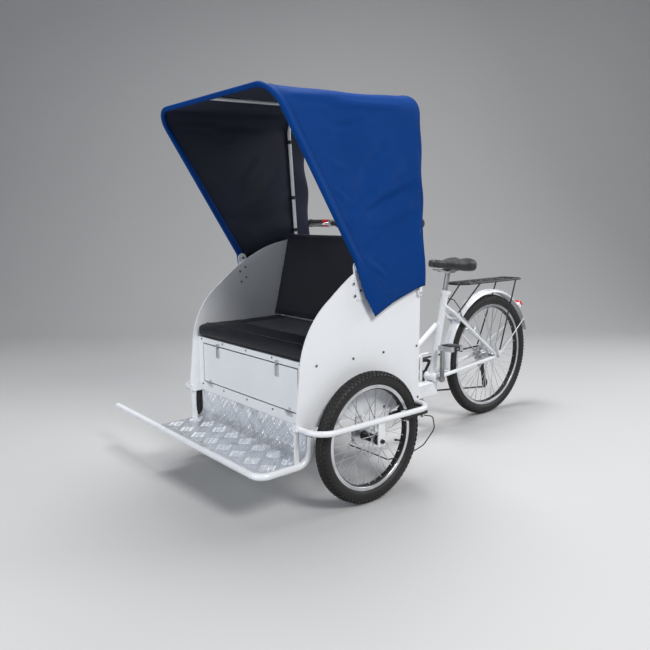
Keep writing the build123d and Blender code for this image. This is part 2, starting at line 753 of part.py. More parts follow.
def seat_cushion():
    """Plain padded seat."""
    half = PANEL_IN_Y - SOFT_GAP
    rear_x = back_line_x(BACK_CUSHION_T, SEAT_Z) + SOFT_GAP
    pad = block((rear_x, CUSHION_FRONT_X), (-half, half), (SEAT_Z + GAP, SEAT_Z + CUSHION_H))
    front_edges = pad.edges().filter_by(Axis.Y).sort_by(Axis.X)[-2:]
    return fillet(front_edges, CUSHION_EDGE_R)


HINGE_AXIS_X = FRONT_WALL_X + FRONT_WALL_T + HINGE_R
HINGE_AXIS_Z = DOOR_LOW_Z
DOOR_FACE_X = FRONT_WALL_X + FRONT_WALL_T


def box_door():
    """Door leaf in the front wall."""
    return block(
        (FRONT_WALL_X, DOOR_FACE_X),
        (-DOOR_HALF_W + DOOR_GAP, DOOR_HALF_W - DOOR_GAP),
        (DOOR_LOW_Z + DOOR_GAP, DOOR_TOP_Z - DOOR_GAP),
    )


def hinge_leaf(y_low, y_high, upwards, knuckle):
    """One leaf of a butt hinge: knuckles round the pin and a plate on the wall."""
    if upwards:
        z_range = (HINGE_AXIS_Z, HINGE_AXIS_Z + HINGE_LEAF_H)
    else:
        z_range = (HINGE_AXIS_Z - HINGE_LEAF_H, HINGE_AXIS_Z)
    plate = block((DOOR_FACE_X, DOOR_FACE_X + HINGE_LEAF_T), (y_low, y_high), z_range)
    relief = rod((HINGE_AXIS_X, y_low, HINGE_AXIS_Z), (HINGE_AXIS_X, y_high, HINGE_AXIS_Z), HINGE_R + 1)
    plate -= relief
    for low, high in knuckle:
        barrel = rod((HINGE_AXIS_X, low, HINGE_AXIS_Z), (HINGE_AXIS_X, high, HINGE_AXIS_Z), HINGE_R)
        web_z = (HINGE_AXIS_Z, z_range[1]) if upwards else (z_range[0], HINGE_AXIS_Z)
        web = block((DOOR_FACE_X, DOOR_FACE_X + HINGE_LEAF_T), (low, high), web_z)
        plate += barrel + web
    return plate


def door_hinges():
    """Fixed leaves with their pins below the door, and the moving leaves on it."""
    fixed = []
    moving = []
    third = HINGE_L / 3
    for y in (-HINGE_Y, HINGE_Y):
        low = y - HINGE_L / 2
        outer = ((low, low + third), (low + 2 * third, low + HINGE_L))
        middle = ((low + third + GAP, low + 2 * third - GAP),)
        leaf = hinge_leaf(low, low + HINGE_L, False, outer)
        start = (HINGE_AXIS_X, low, HINGE_AXIS_Z)
        end = (HINGE_AXIS_X, low + HINGE_L, HINGE_AXIS_Z)
        fixed.append(leaf + rod(start, end, HINGE_PIN_R))
        flap = hinge_leaf(middle[0][0], middle[0][1], True, middle)
        moving.append(flap - rod(start, end, HINGE_PIN_R + PIVOT_GAP))
    return fixed, moving


def door_latches():
    """Toggle latches on the door and their catches on the wall above it."""
    bodies = []
    catches = []
    half = LATCH_W / 2
    for y in (-LATCH_Y, LATCH_Y):
        y_range = (y - half, y + half)
        top = DOOR_TOP_Z - DOOR_GAP
        body = block((DOOR_FACE_X, DOOR_FACE_X + LATCH_T), y_range, (LATCH_Z, top))
        body = chamfer(body.edges().filter_by(Axis.Y).sort_by(Axis.X)[-2:], 3)
        bodies.append(body)
        catch = block((DOOR_FACE_X, DOOR_FACE_X + LATCH_T), y_range, (DOOR_TOP_Z + GAP, DOOR_TOP_Z + CATCH_H))
        catches.append(catch)
    return bodies, catches


def footrest_frame():
    """Side tubes bent down from the underframe and forward to one long, open-ended bar."""
    left = (
        (FOOT_RISE_X, FOOT_Y, RAIL_LOW_Z), (FOOT_RISE_X, FOOT_Y, FOOT_Z),
        (FOOT_FRONT_X, FOOT_Y, FOOT_Z), (FOOT_FRONT_X, FOOT_BAR_END_Y, FOOT_Z),
    )
    right = (
        (FOOT_RISE_X, -FOOT_Y, RAIL_LOW_Z), (FOOT_RISE_X, -FOOT_Y, FOOT_Z),
        (FOOT_FRONT_X, -FOOT_Y, FOOT_Z),
    )
    solid = tube(left, (FOOT_RISE_BEND, FOOT_CORNER_BEND), FOOT_TUBE_R)
    solid += tube(right, FOOT_RISE_BEND, FOOT_TUBE_R)
    half_w = FOOT_STRUT_W / 2
    for side in (1, -1):
        y = side * FOOT_Y
        solid += block(
            (FOOT_STRUT_X - half_w, FOOT_STRUT_X + half_w),
            (y - FOOT_STRUT_T / 2, y + FOOT_STRUT_T / 2),
            (FOOT_Z, RAIL_LOW_Z),
        )
    mouth = (FOOT_FRONT_X, FOOT_BAR_END_Y, FOOT_Z)
    bore_end = (FOOT_FRONT_X, FOOT_BAR_END_Y + FOOT_BORE_L, FOOT_Z)
    return solid - rod(mouth, bore_end, FOOT_TUBE_R - FOOT_TUBE_WALL)


def footrest_plate():
    """Tread plate on top of the side tubes, curved up behind the feet."""
    inner = FOOT_RISE_BEND - FOOT_TUBE_R
    low_z = FOOT_Z + FOOT_TUBE_R + GAP
    rise_x = FOOT_RISE_X + FOOT_TUBE_R + GAP
    inner -= GAP
    bend_x = rise_x + inner
    bend_z = low_z + inner
    arc_k = sin(radians(45))
    under = Line((FOOT_FRONT_X, low_z), (bend_x, low_z))
    under_arc = ThreePointArc(
        (bend_x, low_z), (bend_x - inner * arc_k, bend_z - inner * arc_k), (rise_x, bend_z)
    )
    under_up = Line((rise_x, bend_z), (rise_x, RAIL_LOW_Z))
    small = inner - TREAD_T
    edge = Line((rise_x, RAIL_LOW_Z), (rise_x + TREAD_T, RAIL_LOW_Z))
    over_up = Line((rise_x + TREAD_T, RAIL_LOW_Z), (rise_x + TREAD_T, bend_z))
    over_arc = ThreePointArc(
        (rise_x + TREAD_T, bend_z), (bend_x - small * arc_k, bend_z - small * arc_k),
        (bend_x, low_z + TREAD_T),
    )
    over = Line((bend_x, low_z + TREAD_T), (FOOT_FRONT_X, low_z + TREAD_T))
    tip = Line((FOOT_FRONT_X, low_z + TREAD_T), (FOOT_FRONT_X, low_z))
    face = make_face(under + under_arc + under_up + edge + over_up + over_arc + over + tip)
    plate = plate_xz(face, -FOOT_Y, FOOT_Y)
    corner = plate.edges().filter_by(Axis.Z).sort_by(Axis.X)[-2:].sort_by(Axis.Y)[-1:]
    plate = fillet(corner, FOOT_CORNER_BEND)
    for side in (1, -1):
        y = side * FOOT_Y
        plate -= block(
            (FOOT_STRUT_X - FOOT_STRUT_W / 2 - GAP, FOOT_STRUT_X + FOOT_STRUT_W / 2 + GAP),
            (y - FOOT_STRUT_T / 2 - GAP, y + FOOT_STRUT_T / 2 + GAP),
            (low_z, low_z + 2 * TREAD_T),
        )
    return plate


def bow(base, top, bend):
    """U-shaped canopy bow: two legs on the panels and a bent cross tube."""
    points = (
        (base[0], BOW_Y, base[1]), (top[0], BOW_Y, top[1]),
        (top[0], -BOW_Y, top[1]), (base[0], -BOW_Y, base[1]),
    )
    return tube(points, bend, BOW_R)


def bow_eye(centre, lift):
    """Flat eye at the foot of a bow leg, against the panel or its tab."""
    x, z = centre
    eye = rod((x, PANEL_Y + lift, z), (x, BOW_Y, z), TAB_ROUND_R - 5)
    return eye - rod((x, PANEL_Y, z), (x, BOW_Y + BOW_R, z), BOLT_R)


def canopy_bows():
    """Front and rear hoops that carry the hood."""
    front = bow(TAB_HOLE, FRONT_BOW_TOP, FRONT_BOW_BEND)
    rear = bow(REAR_BOW_BASE, REAR_BOW_TOP, REAR_BOW_BEND)
    hole_len = BOW_Y + 2 * BOW_R
    for x, z in (TAB_HOLE, REAR_BOW_BASE):
        hole = rod((x, -hole_len, z), (x, hole_len, z), BOLT_R)
        front -= hole
        rear -= hole
    for side in (1, -1):
        front += on_side(bow_eye(TAB_HOLE, TAB_T), side)
        rear += on_side(bow_eye(REAR_BOW_BASE, 0), side)
    return front, rear


def bow_bolts():
    """Pivot bolts with round heads inside and outside the panels."""
    bolts = []
    outer = BOW_Y + BOW_R
    for side in (1, -1):
        for x, z in (TAB_HOLE, REAR_BOW_BASE):
            bolt = rod((x, PANEL_IN_Y - BOLT_HEAD_T, z), (x, outer, z), BOLT_R)
            bolt += rod((x, PANEL_IN_Y - BOLT_HEAD_T, z), (x, PANEL_IN_Y, z), BOLT_HEAD_R)
            bolts.append(on_side(bolt, side))
    return group(*bolts)


def canopy_stay(bows):
    """Bar under the roof between the two hoops."""
    front = (FRONT_BOW_TOP[0], 0, FRONT_BOW_TOP[1])
    rear = (REAR_BOW_TOP[0], 0, REAR_BOW_TOP[1])
    return rod(front, rear, STAY_R) - bows


def arch_section(half_w, top_z, low_z, radius):
    """Inverted U in the YZ plane."""
    rise = top_z - radius
    flat = half_w - radius
    arc_k = radius * sin(radians(45))
    left = Line((half_w, low_z), (half_w, rise))
    left_arc = ThreePointArc((half_w, rise), (flat + arc_k, rise + arc_k), (flat, top_z))
    roof = Line((flat, top_z), (-flat, top_z))
    right_arc = ThreePointArc((-flat, top_z), (-flat - arc_k, rise + arc_k), (-half_w, rise))
    right = Line((-half_w, rise), (-half_w, low_z))
    base = Line((-half_w, low_z), (half_w, low_z))
    return make_face(left + left_arc + roof + right_arc + right + base)


def canopy_core(grow):
    """Solid inside the cover, lofted from the front bow's arch to the rear bow's."""
    half_w = BOW_Y + BOW_R + GAP + grow
    reach = BOW_R + GAP + grow
    low_z = FLAP_TIP[1] - 60
    front_x = FRONT_BOW_TOP[0] + 60
    rear_x = REAR_BOW_TOP[0] - 140
    slope = (REAR_BOW_TOP[1] - FRONT_BOW_TOP[1]) / (FRONT_BOW_TOP[0] - REAR_BOW_TOP[0])
    front_top = FRONT_BOW_TOP[1] + reach - slope * 60
    rear_top = REAR_BOW_TOP[1] + reach + slope * 140
    bend = COVER_BEND + grow
    front_face = Plane.YZ.offset(front_x) * arch_section(half_w, front_top, low_z, bend)
    rear_face = Plane.YZ.offset(rear_x) * arch_section(half_w, rear_top, low_z, bend)
    return loft([front_face, rear_face])


def canopy_cover():
    """Fabric hood: roof and side flaps as one shell with pointed lower flaps."""
    shell = canopy_core(FABRIC_T) - canopy_core(0)
    leg = Vector(FRONT_BOW_TOP[0] - TAB_HOLE[0], 0, FRONT_BOW_TOP[1] - TAB_HOLE[1])
    ahead = Vector(leg.Z, 0, -leg.X).normalized() * (BOW_R + GAP + FABRIC_T)
    top_z = REAR_BOW_TOP[1] + HOOD_TRIM_OVER
    front_top = Vector(FRONT_BOW_TOP[0], 0, FRONT_BOW_TOP[1]) + ahead + leg.normalized() * HOOD_FRONT_OVER
    crease = Vector(FLAP_CREASE[0], 0, FLAP_CREASE[1])
    rear_top_x = REAR_BOW_TOP[0] - BOW_R - GAP - FABRIC_T - HOOD_REAR_OVER
    points = (
        (front_top.X, front_top.Z), (crease.X + ahead.X + 8, crease.Z + ahead.Z), FLAP_FRONT_LOW,
        FLAP_TIP, FLAP_MIDDLE_LOW, FLAP_REAR_LOW, (rear_top_x, top_z), (front_top.X, top_z),
    )
    return shell & plate_xz(ring_profile(points), -BOW_Y * 1.5, BOW_Y * 1.5)


def handlebar():
    """Swept handlebar behind the backrest on an upright stem from the rear wall."""
    points = (
        (BAR_X, BAR_HALF_L, BAR_Z), (BAR_X, BAR_RISE_Y, BAR_Z), (BAR_X, BAR_DROP_Y, BAR_MID_Z),
        (BAR_X, -BAR_DROP_Y, BAR_MID_Z), (BAR_X, -BAR_RISE_Y, BAR_Z), (BAR_X, -BAR_HALF_L, BAR_Z),
    )
    bar = tube(points, BAR_BEND, BAR_R)
    foot_z = REAR_WALL_TOP_Z - STEM_FOOT_DROP
    web_top = foot_z + STEM_WEB_H
    half_w = STEM_SHELF_W / 2
    plate_y = half_w + STEM_PLATE_OVER
    stem = rod((BAR_X, 0, foot_z), (BAR_X, 0, BAR_MID_Z), STEM_R)
    shelf = block((BAR_X, FRAME_REAR_X), (-half_w, half_w), (foot_z, foot_z + STEM_SHELF_T))
    plate_x = (FRAME_REAR_X - STEM_PLATE_T, FRAME_REAR_X)
    plate = block(plate_x, (-plate_y, plate_y), (foot_z - 2 * STEM_PLATE_OVER, web_top))
    web = block((BAR_X, FRAME_REAR_X), (-STEM_WEB_T / 2, STEM_WEB_T / 2), (foot_z, web_top))
    return bar + stem + shelf + plate + web


def grip(side):
    """Rubber grip with a raised outer end."""
    outer = BAR_HALF_L + GRIP_CAP
    inner = BAR_HALF_L - GRIP_L
    solid = rod((BAR_X, inner, BAR_Z), (BAR_X, outer, BAR_Z), GRIP_R)
    solid += rod((BAR_X, outer - 1.5 * GRIP_CAP, BAR_Z), (BAR_X, outer, BAR_Z), GRIP_R + GRIP_RING)
    solid -= rod((BAR_X, inner, BAR_Z), (BAR_X, BAR_HALF_L, BAR_Z), BAR_R)
    return on_side(solid, side)


def twist_collar():
    """Red collar beside the right grip."""
    high = -BAR_HALF_L + GRIP_L + GAP + COLLAR_L
    low = high - COLLAR_L
    solid = rod((BAR_X, low, BAR_Z), (BAR_X, high, BAR_Z), COLLAR_R)
    return solid - rod((BAR_X, low, BAR_Z), (BAR_X, high, BAR_Z), BAR_R)


def brake_lever(side):
    """Clamp on the bar and a lever blade that reaches in front of the grip."""
    start = BAR_HALF_L - GRIP_L - COLLAR_L - LEVER_CLAMP_L - 2
    clamp_y = (start, start + LEVER_CLAMP_L)
    body = rod((BAR_X, clamp_y[0], BAR_Z), (BAR_X, clamp_y[1], BAR_Z), BAR_R + 6)
    body -= rod((BAR_X, clamp_y[0], BAR_Z), (BAR_X, clamp_y[1], BAR_Z), BAR_R)
    front_x = BAR_X + LEVER_REACH
    mid_y = start + LEVER_CLAMP_L / 2
    points = (
        (BAR_X + BAR_R + LEVER_R + 1, mid_y, BAR_Z), (front_x, mid_y + 12, BAR_Z - 4),
        (front_x, start + LEVER_L, BAR_Z - 8),
    )
    blade = tube(points, LEVER_BEND, LEVER_R)
    return on_side(body + blade, side)


def main_beam():
    """Rectangular spine under the box with the kingpin at its front end."""
    front_x = KINGPIN_X + BEARING_R + 8
    beam = block((BEAM_REAR_X, front_x), (-BEAM_W / 2, BEAM_W / 2), (BEAM_LOW_Z, BEAM_TOP_Z))
    beam = fillet(beam.edges().filter_by(Axis.X), BEAM_CORNER)
    pin_top = FRAME_TOP_Z + 16
    beam += rod((KINGPIN_X, 0, BEAM_LOW_Z + 10), (KINGPIN_X, 0, pin_top), KINGPIN_R)
    beam += rod((KINGPIN_X, 0, BEAM_TOP_Z - 2), (KINGPIN_X, 0, BEAM_TOP_Z + BEARING_CLEAR_Z - GAP), BEARING_R)
    beam += rod((KINGPIN_X, 0, FRAME_TOP_Z + GAP), (KINGPIN_X, 0, pin_top), KINGPIN_R + 7)
    return beam


def seat_tube():
    """Tapered tube from the bottom bracket up to the seat clamp."""
    top = (SEAT_TUBE_TOP[0], 0, SEAT_TUBE_TOP[1])
    return taper((BB_X, 0, BB_Z), top, SEAT_TUBE_LOW_R, SEAT_TUBE_TOP_R)


def seat_stay():
    """Left stay from the seat tube out over the knee and down to the dropout."""
    points = (
        (SEATSTAY_TOP[0], SEATSTAY_TOP_Y, SEATSTAY_TOP[1]),
        (SEATSTAY_KNEE[0], SEATSTAY_KNEE_Y, SEATSTAY_KNEE[1]),
        (REAR_AXLE.X + 10, REAR_DROPOUT_Y + REAR_DROPOUT_T / 2, REAR_AXLE.Z + 8),
    )
    return tube(points, SEATSTAY_BEND, SEATSTAY_R)


def rear_dropout():
    """Round plate at the left stay's end, with an eyelet tab for the mudguard rods."""
    outer_y = REAR_DROPOUT_Y + REAR_DROPOUT_T
    inner = (REAR_AXLE.X, REAR_DROPOUT_Y, REAR_AXLE.Z)
    outer = (REAR_AXLE.X, outer_y, REAR_AXLE.Z)
    eyelet = block(
        (REAR_AXLE.X - EYELET_REACH, REAR_AXLE.X), (REAR_DROPOUT_Y, outer_y),
        (REAR_AXLE.Z, REAR_AXLE.Z + EYELET_RISE),
    )
    return rod(inner, outer, REAR_DROPOUT_R) + eyelet


def rear_frame():
    """Bottom bracket, seat tube, down tube, stays and dropouts in one weldment."""
    top = (SEAT_TUBE_TOP[0], 0, SEAT_TUBE_TOP[1])
    solid = rod((BB_X, -BB_HALF_W, BB_Z), (BB_X, BB_HALF_W, BB_Z), BB_R)
    solid += seat_tube()
    low_z = BEAM_TOP_Z - 4
    solid += rod((DOWN_TUBE_TOP[0], 0, DOWN_TUBE_TOP[1]), (DOWN_TUBE_LOW_X, 0, low_z), DOWN_TUBE_R)
    end_y = REAR_DROPOUT_Y - 2
    outer_y = REAR_DROPOUT_Y + REAR_DROPOUT_T
    for side in (1, -1):
        start = (BB_X - 6, side * CHAINSTAY_FRONT_Y, BB_Z)
        end = (REAR_AXLE.X + 14, side * end_y, REAR_AXLE.Z - 2)
        solid += rod(start, end, STAY_TUBE_R)
        solid += on_side(seat_stay() + rear_dropout(), side)
    solid += stay_bridges()
    wide = REAR_DROPOUT_Y + 40
    solid -= rod((REAR_AXLE.X, -wide, REAR_AXLE.Z), (REAR_AXLE.X, wide, REAR_AXLE.Z), AXLE_R)
    solid -= hub_space()
    for side in (1, -1):
        solid -= on_side(rod((REAR_AXLE.X, outer_y, REAR_AXLE.Z), (REAR_AXLE.X, wide, REAR_AXLE.Z), 30), side)
    solid -= rod((BB_X, -CRANK_Y, BB_Z), (BB_X, CRANK_Y, BB_Z), SPINDLE_R + PIVOT_GAP)
    solid -= rod(SEATPOST_LOW, top, SEATPOST_R)
    return solid - main_beam()


def hub_space():
    """Room between the dropouts, so that no stay end reaches the hub."""
    return rod(
        (REAR_AXLE.X, -REAR_DROPOUT_Y, REAR_AXLE.Z), (REAR_AXLE.X, REAR_DROPOUT_Y, REAR_AXLE.Z),
        REAR_DROPOUT_R + 26,
    )


def stay_bridges():
    """Cross tubes between the stays that carry the mudguard's front and middle."""
    radius = BRIDGE_R
    reach = MUDGUARD_R + radius + GAP
    low_x, low_z = polar(REAR_AXLE, reach, MUDGUARD_FRONT_DEG)
    low = rod((low_x, -36, low_z), (low_x, 36, low_z), radius)
    knee = Vector(SEATSTAY_KNEE[0], 0, SEATSTAY_KNEE[1]) - REAR_AXLE
    share = reach / knee.length
    high_x = REAR_AXLE.X + knee.X * share
    high_z = REAR_AXLE.Z + knee.Z * share
    high = rod((high_x, -44, high_z), (high_x, 44, high_z), radius)
    return low + high


SEAT_TUBE_AXIS = Vector(SEAT_TUBE_TOP[0] - BB_X, 0, SEAT_TUBE_TOP[1] - BB_Z).normalized()
SEATPOST_LOW = (
    SEAT_TUBE_TOP[0] - SEAT_TUBE_AXIS.X * 120, 0, SEAT_TUBE_TOP[1] - SEAT_TUBE_AXIS.Z * 120
)


def stay_point(along, rise, y):
    """Point beside the seat stays: along them from the rear axle, and square to them."""
    knee = Vector(SEATSTAY_KNEE[0], 0, SEATSTAY_KNEE[1]) - REAR_AXLE
    way = knee.normalized()
    return REAR_AXLE + way * along + Vector(-way.Z, 0, way.X) * rise + Vector(0, y, 0)


def stay_y(along):
    """Half distance between the seat stays' centre lines at this point."""
    knee = Vector(SEATSTAY_KNEE[0], 0, SEATSTAY_KNEE[1]) - REAR_AXLE
    foot_y = REAR_DROPOUT_Y + REAR_DROPOUT_T / 2
    return foot_y + (SEATSTAY_KNEE_Y - foot_y) * along / knee.length


def rear_brake_arm():
    """Left arm of the rear rim brake on its stud behind the stay, with its shoe."""
    pivot = REAR_RIM_R - REAR_ARM_DROP
    shoe = REAR_RIM_R - PAD_H
    tip = MUDGUARD_R + REAR_ARM_OVER
    rise = REAR_ARM_RISE
    arm = rod(stay_point(pivot, rise, REAR_ARM_Y), stay_point(tip, rise, REAR_ARM_Y), REAR_ARM_R)
    stud_y = stay_y(pivot)
    arm += rod(stay_point(pivot, 0, stud_y), stay_point(pivot, rise + REAR_ARM_R, stud_y), STUD_R)
    link = pivot + LINK_OFFSET
    arm += rod(stay_point(link, rise, REAR_ARM_Y), stay_point(link, rise, stud_y), LINK_R)
    pad_y = RIM_W / 2 + PAD_GAP + PAD_H / 2
    pad_low = rise - 0.6 * PAD_L
    pad_high = rise + 0.3 * PAD_L
    arm += rod(stay_point(shoe, pad_low, pad_y), stay_point(shoe, pad_high, pad_y), PAD_H / 2)
    arm += rod(stay_point(shoe, rise, pad_y), stay_point(shoe, rise, REAR_ARM_Y), LINK_R)
    return arm


def rear_brake():
    """Both arms with the bent pipe over the mudguard that leads the cable to them."""
    arm = rear_brake_arm()
    tip = MUDGUARD_R + REAR_ARM_OVER - REAR_ARM_R
    ends = [stay_point(tip, REAR_ARM_RISE, y) for y in (-REAR_ARM_Y, REAR_ARM_Y)]
    pipe = rod(*ends, CABLE_R)
    stay = seat_stay()
    return arm + mirrored(arm) + pipe - stay - mirrored(stay)


def rear_cable():
    """Brake cable from the left arm over the stays into the seat tube."""
    start = stay_point(MUDGUARD_R + REAR_ARM_OVER, REAR_ARM_RISE, REAR_ARM_Y)
    points = (tuple(start),) + REAR_CABLE_ROUTE
    return tube(points, REAR_CABLE_BEND, CABLE_R) - rear_brake_arm() - seat_tube()


def seatpost():
    """Post from inside the seat tube up to the saddle rails, with its head clamp."""
    top_z = SADDLE_TOP_Z - SADDLE_T - RAIL_DROP - RAIL_R
    run = (top_z - SEATPOST_LOW[2]) / SEAT_TUBE_AXIS.Z
    top = Vector(*SEATPOST_LOW) + SEAT_TUBE_AXIS * run
    post = rod(SEATPOST_LOW, tuple(top), SEATPOST_R)
    half_l = POST_HEAD_L / 2
    half_w = POST_HEAD_W / 2
    z_range = (top_z - POST_HEAD_LOW, top_z + POST_HEAD_UP)
    head = block((top.X - half_l, top.X + half_l), (-half_w, half_w), z_range)
    return post + fillet(head.edges().filter_by(Axis.Y), POST_HEAD_ROUND)


def seat_clamp():
    """Clamp ring with its ear at the seat tube's top."""
    base = Vector(SEAT_TUBE_TOP[0], 0, SEAT_TUBE_TOP[1])
    top = base + SEAT_TUBE_AXIS * CLAMP_H
    ring = rod(tuple(base), tuple(top), CLAMP_R)
    ear = block((base.X - CLAMP_R - 14, base.X), (-12, 12), (base.Z + 4, base.Z + CLAMP_H - 6))
    ring += ear
    return ring - rod(SEATPOST_LOW, tuple(top + SEAT_TUBE_AXIS * 20), SEATPOST_R)


def saddle_outline(inset):
    """Half-round nose, slim waist and wide tail, seen from above."""
    nose = SADDLE_NOSE_X - inset
    rear = SADDLE_REAR_X + inset
    slim = SADDLE_NOSE_HALF_W - inset * 0.5
    wide = SADDLE_HALF_W - inset
    waist = (SADDLE_X + 25, slim + 10)
    wing = (rear + 62, wide - 4)
    tip = ThreePointArc((nose - slim, -slim), (nose, 0), (nose - slim, slim))
    upper = Line((nose - slim, slim), waist)
    flare = ThreePointArc(waist, (SADDLE_X - 28, wide * 0.66), wing)
    lobe = ThreePointArc(wing, (rear + 22, wide - 4), (rear, wide * 0.6))
    tail = Line((rear, wide * 0.6), (rear, -wide * 0.6))
    other = mirror(lobe, about=Plane.XZ) + mirror(flare, about=Plane.XZ) + mirror(upper, about=Plane.XZ)
    return make_face(tip + upper + flare + lobe + tail + other)


def saddle():
    """Saddle shell: a straight skirt and a crowned top that is drawn in all round."""
    low_z = SADDLE_TOP_Z - SADDLE_T
    edge_z = SADDLE_TOP_Z - SADDLE_CROWN
    face = saddle_outline(0)
    skirt = extrude(Plane.XY.offset(low_z) * face, edge_z - low_z)
    crown = Plane.XY.offset(SADDLE_TOP_Z) * saddle_outline(SADDLE_CROWN * 0.8)
    return skirt + loft([Plane.XY.offset(edge_z) * face, crown])


def saddle_rails():
    """Two steel rails under the saddle that the post's head holds."""
    end_z = SADDLE_TOP_Z - SADDLE_T - RAIL_R - GAP
    mid_z = end_z - RAIL_DROP
    rails = []
    for side in (1, -1):
        points = (
            (SADDLE_NOSE_X - 30, side * 10, end_z), (SADDLE_NOSE_X - 50, side * 14, end_z),
            (SADDLE_X + 60, side * 22, mid_z), (SADDLE_X - 40, side * 22, mid_z),
            (SADDLE_REAR_X + 50, side * 32, end_z), (SADDLE_REAR_X + 30, side * 36, end_z),
        )
        rails.append(tube(points, 8, RAIL_R) - seatpost())
    return group(*rails)


def rear_wheel_parts():
    """Rear wheel with its tyre, axle and freehub."""
    flange_left = HUB_FLANGE_LEFT
    flange_right = HUB_FLANGE_RIGHT
    end = REAR_DROPOUT_Y - CONE_T - GAP
    centre = Pos(REAR_AXLE.X, 0, REAR_AXLE.Z)
    freehub = rod((0, CHAIN_Y - SPROCKET_T / 2 - 4, 0), (0, flange_right, 0), FREEHUB_R)
    freehub -= rod((0, -end, 0), (0, flange_right, 0), AXLE_R + PIVOT_GAP)
    solid = centre * (rear_wheel(flange_right, flange_left, -end, end) + freehub)
    outer = centre * tyre(REAR_TYRE_R, REAR_TYRE_W, REAR_RIM_R)
    return solid, outer


def rear_axle():
    """Quick-release axle with cones, end caps and the lever on the left."""
    inner = REAR_DROPOUT_Y
    outer = REAR_DROPOUT_Y + REAR_DROPOUT_T
    reach = outer + AXLE_NUT_T
    shaft = rod((0, -reach - 3, 0), (0, reach + 3, 0), AXLE_R)
    for side in (1, -1):
        shaft += rod((0, side * (inner - CONE_T), 0), (0, side * inner, 0), CONE_R)
        shaft += rod((0, side * (outer + 4), 0), (0, side * reach, 0), AXLE_NUT_R)
    lever = Plane(origin=(0, reach - 3, 0), x_dir=LEVER_LEAN, z_dir=(0, 1, 0))
    blade = extrude(lever * Pos(30, 0) * SlotOverall(72, 14), 5)
    return Pos(REAR_AXLE.X, 0, REAR_AXLE.Z) * (shaft + blade)


def toothed_disc(radius, low_y, thickness):
    """Disc whose teeth stand above the chain's inner edge at one chain pitch apart."""
    count = round(2 * pi * radius / CHAIN_PITCH)
    step = 2 * pi / count
    outline = []
    # share of a tooth's step, height above the root circle
    for share, height in ((0.0, 0.0), (0.28, 0.0), (0.5, 1.0), (0.78, 1.0)):
        outline.append((share * step, radius - GAP + height * TOOTH_H))
    points = []
    for tooth in range(count):
        for angle, reach in outline:
            turn = angle + tooth * step
            points.append((reach * cos(turn), reach * sin(turn)))
    return plate_xz(ring_profile(points), low_y, low_y + thickness)


def cassette():
    """Stack of toothed sprockets on the right of the hub, with real steps between them."""
    first = CHAIN_Y - SPROCKET_T / 2
    last = first + (SPROCKETS - 1) * SPROCKET_PITCH + SPROCKET_T
    collar = CASSETTE_COLLAR
    solid = rod((0, first - collar, 0), (0, last, 0), FREEHUB_R + collar)
    for index in range(SPROCKETS):
        low = first + index * SPROCKET_PITCH
        solid += toothed_disc(SPROCKET_R + index * SPROCKET_STEP, low, SPROCKET_T)
    return solid - rod((0, first - collar, 0), (0, last, 0), FREEHUB_R)


def belt(circles):
    """Closed tangent path round circles given as (x, z, radius, turn)."""
    edges = []
    count = len(circles)
    joints = []
    for index in range(count):
        x0, z0, r0, s0 = circles[index]
        x1, z1, r1, s1 = circles[(index + 1) % count]
        dx = x1 - x0
        dz = z1 - z0
        span = hypot(dx, dz)
        base = atan2(dz, dx)
        angle = base - acos((s0 * r0 - s1 * r1) / span)
        normal = (cos(angle), sin(angle))
        first = (x0 + s0 * r0 * normal[0], z0 + s0 * r0 * normal[1])
        second = (x1 + s1 * r1 * normal[0], z1 + s1 * r1 * normal[1])
        joints.append((first, second))
        edges.append(Line(first, second))
    for index in range(count):
        x0, z0, r0, s0 = circles[index]
        arrive = joints[index - 1][1]
        leave = joints[index][0]
        start = atan2(arrive[1] - z0, arrive[0] - x0)
        end = atan2(leave[1] - z0, leave[0] - x0)
        sweep_angle = (end - start) * s0
        while sweep_angle < 0:
            sweep_angle += 2 * pi
        mid = start + s0 * sweep_angle / 2
        edges.append(ThreePointArc(arrive, (x0 + r0 * cos(mid), z0 + r0 * sin(mid)), leave))
    return edges


def chain_line(offset):
    """The chain's closed path, offset outwards from its inner edge."""
    inner = CHAIN_CLEAR + offset
    outer = CHAIN_CLEAR + CHAIN_H - offset
    return belt((
        (BB_X, BB_Z, RING_R + inner, 1),
        (REAR_AXLE.X, REAR_AXLE.Z, SPROCKET_R + inner, 1),
        (*GUIDE_PULLEY, PULLEY_R + outer, -1),
        (*TENSION_PULLEY, PULLEY_R + inner, 1),
    ))


def chain_pins():
    """Pins at one pitch along the free runs, clear of the teeth at both ends."""
    middle = chain_line(CHAIN_H / 2)
    pins = []
    for run in middle[:len(middle) // 2]:
        count = int((run.length - 2 * PIN_RUN_END) / CHAIN_PITCH)
        start = (run.length - count * CHAIN_PITCH) / 2
        for index in range(count + 1):
            place = run.position_at((start + index * CHAIN_PITCH) / run.length)
            plane = Plane(origin=(place.X, CHAIN_Y - PIN_HALF_L, place.Y), z_dir=(0, 1, 0))
            pins.append(extrude(plane * RegularPolygon(PIN_R, 4), 2 * PIN_HALF_L))
    return pins


def chain():
    """Drive chain: two rows of plates round the chainring, a sprocket and both pulleys, with pins."""
    band = make_face(Wire(chain_line(CHAIN_H))) - make_face(Wire(chain_line(0)))
    half = CHAIN_W / 2
    plates = plate_xz(band, CHAIN_Y - half, CHAIN_Y - half + CHAIN_PLATE_T)
    plates += plate_xz(band, CHAIN_Y + half - CHAIN_PLATE_T, CHAIN_Y + half)
    return plates + chain_pins()


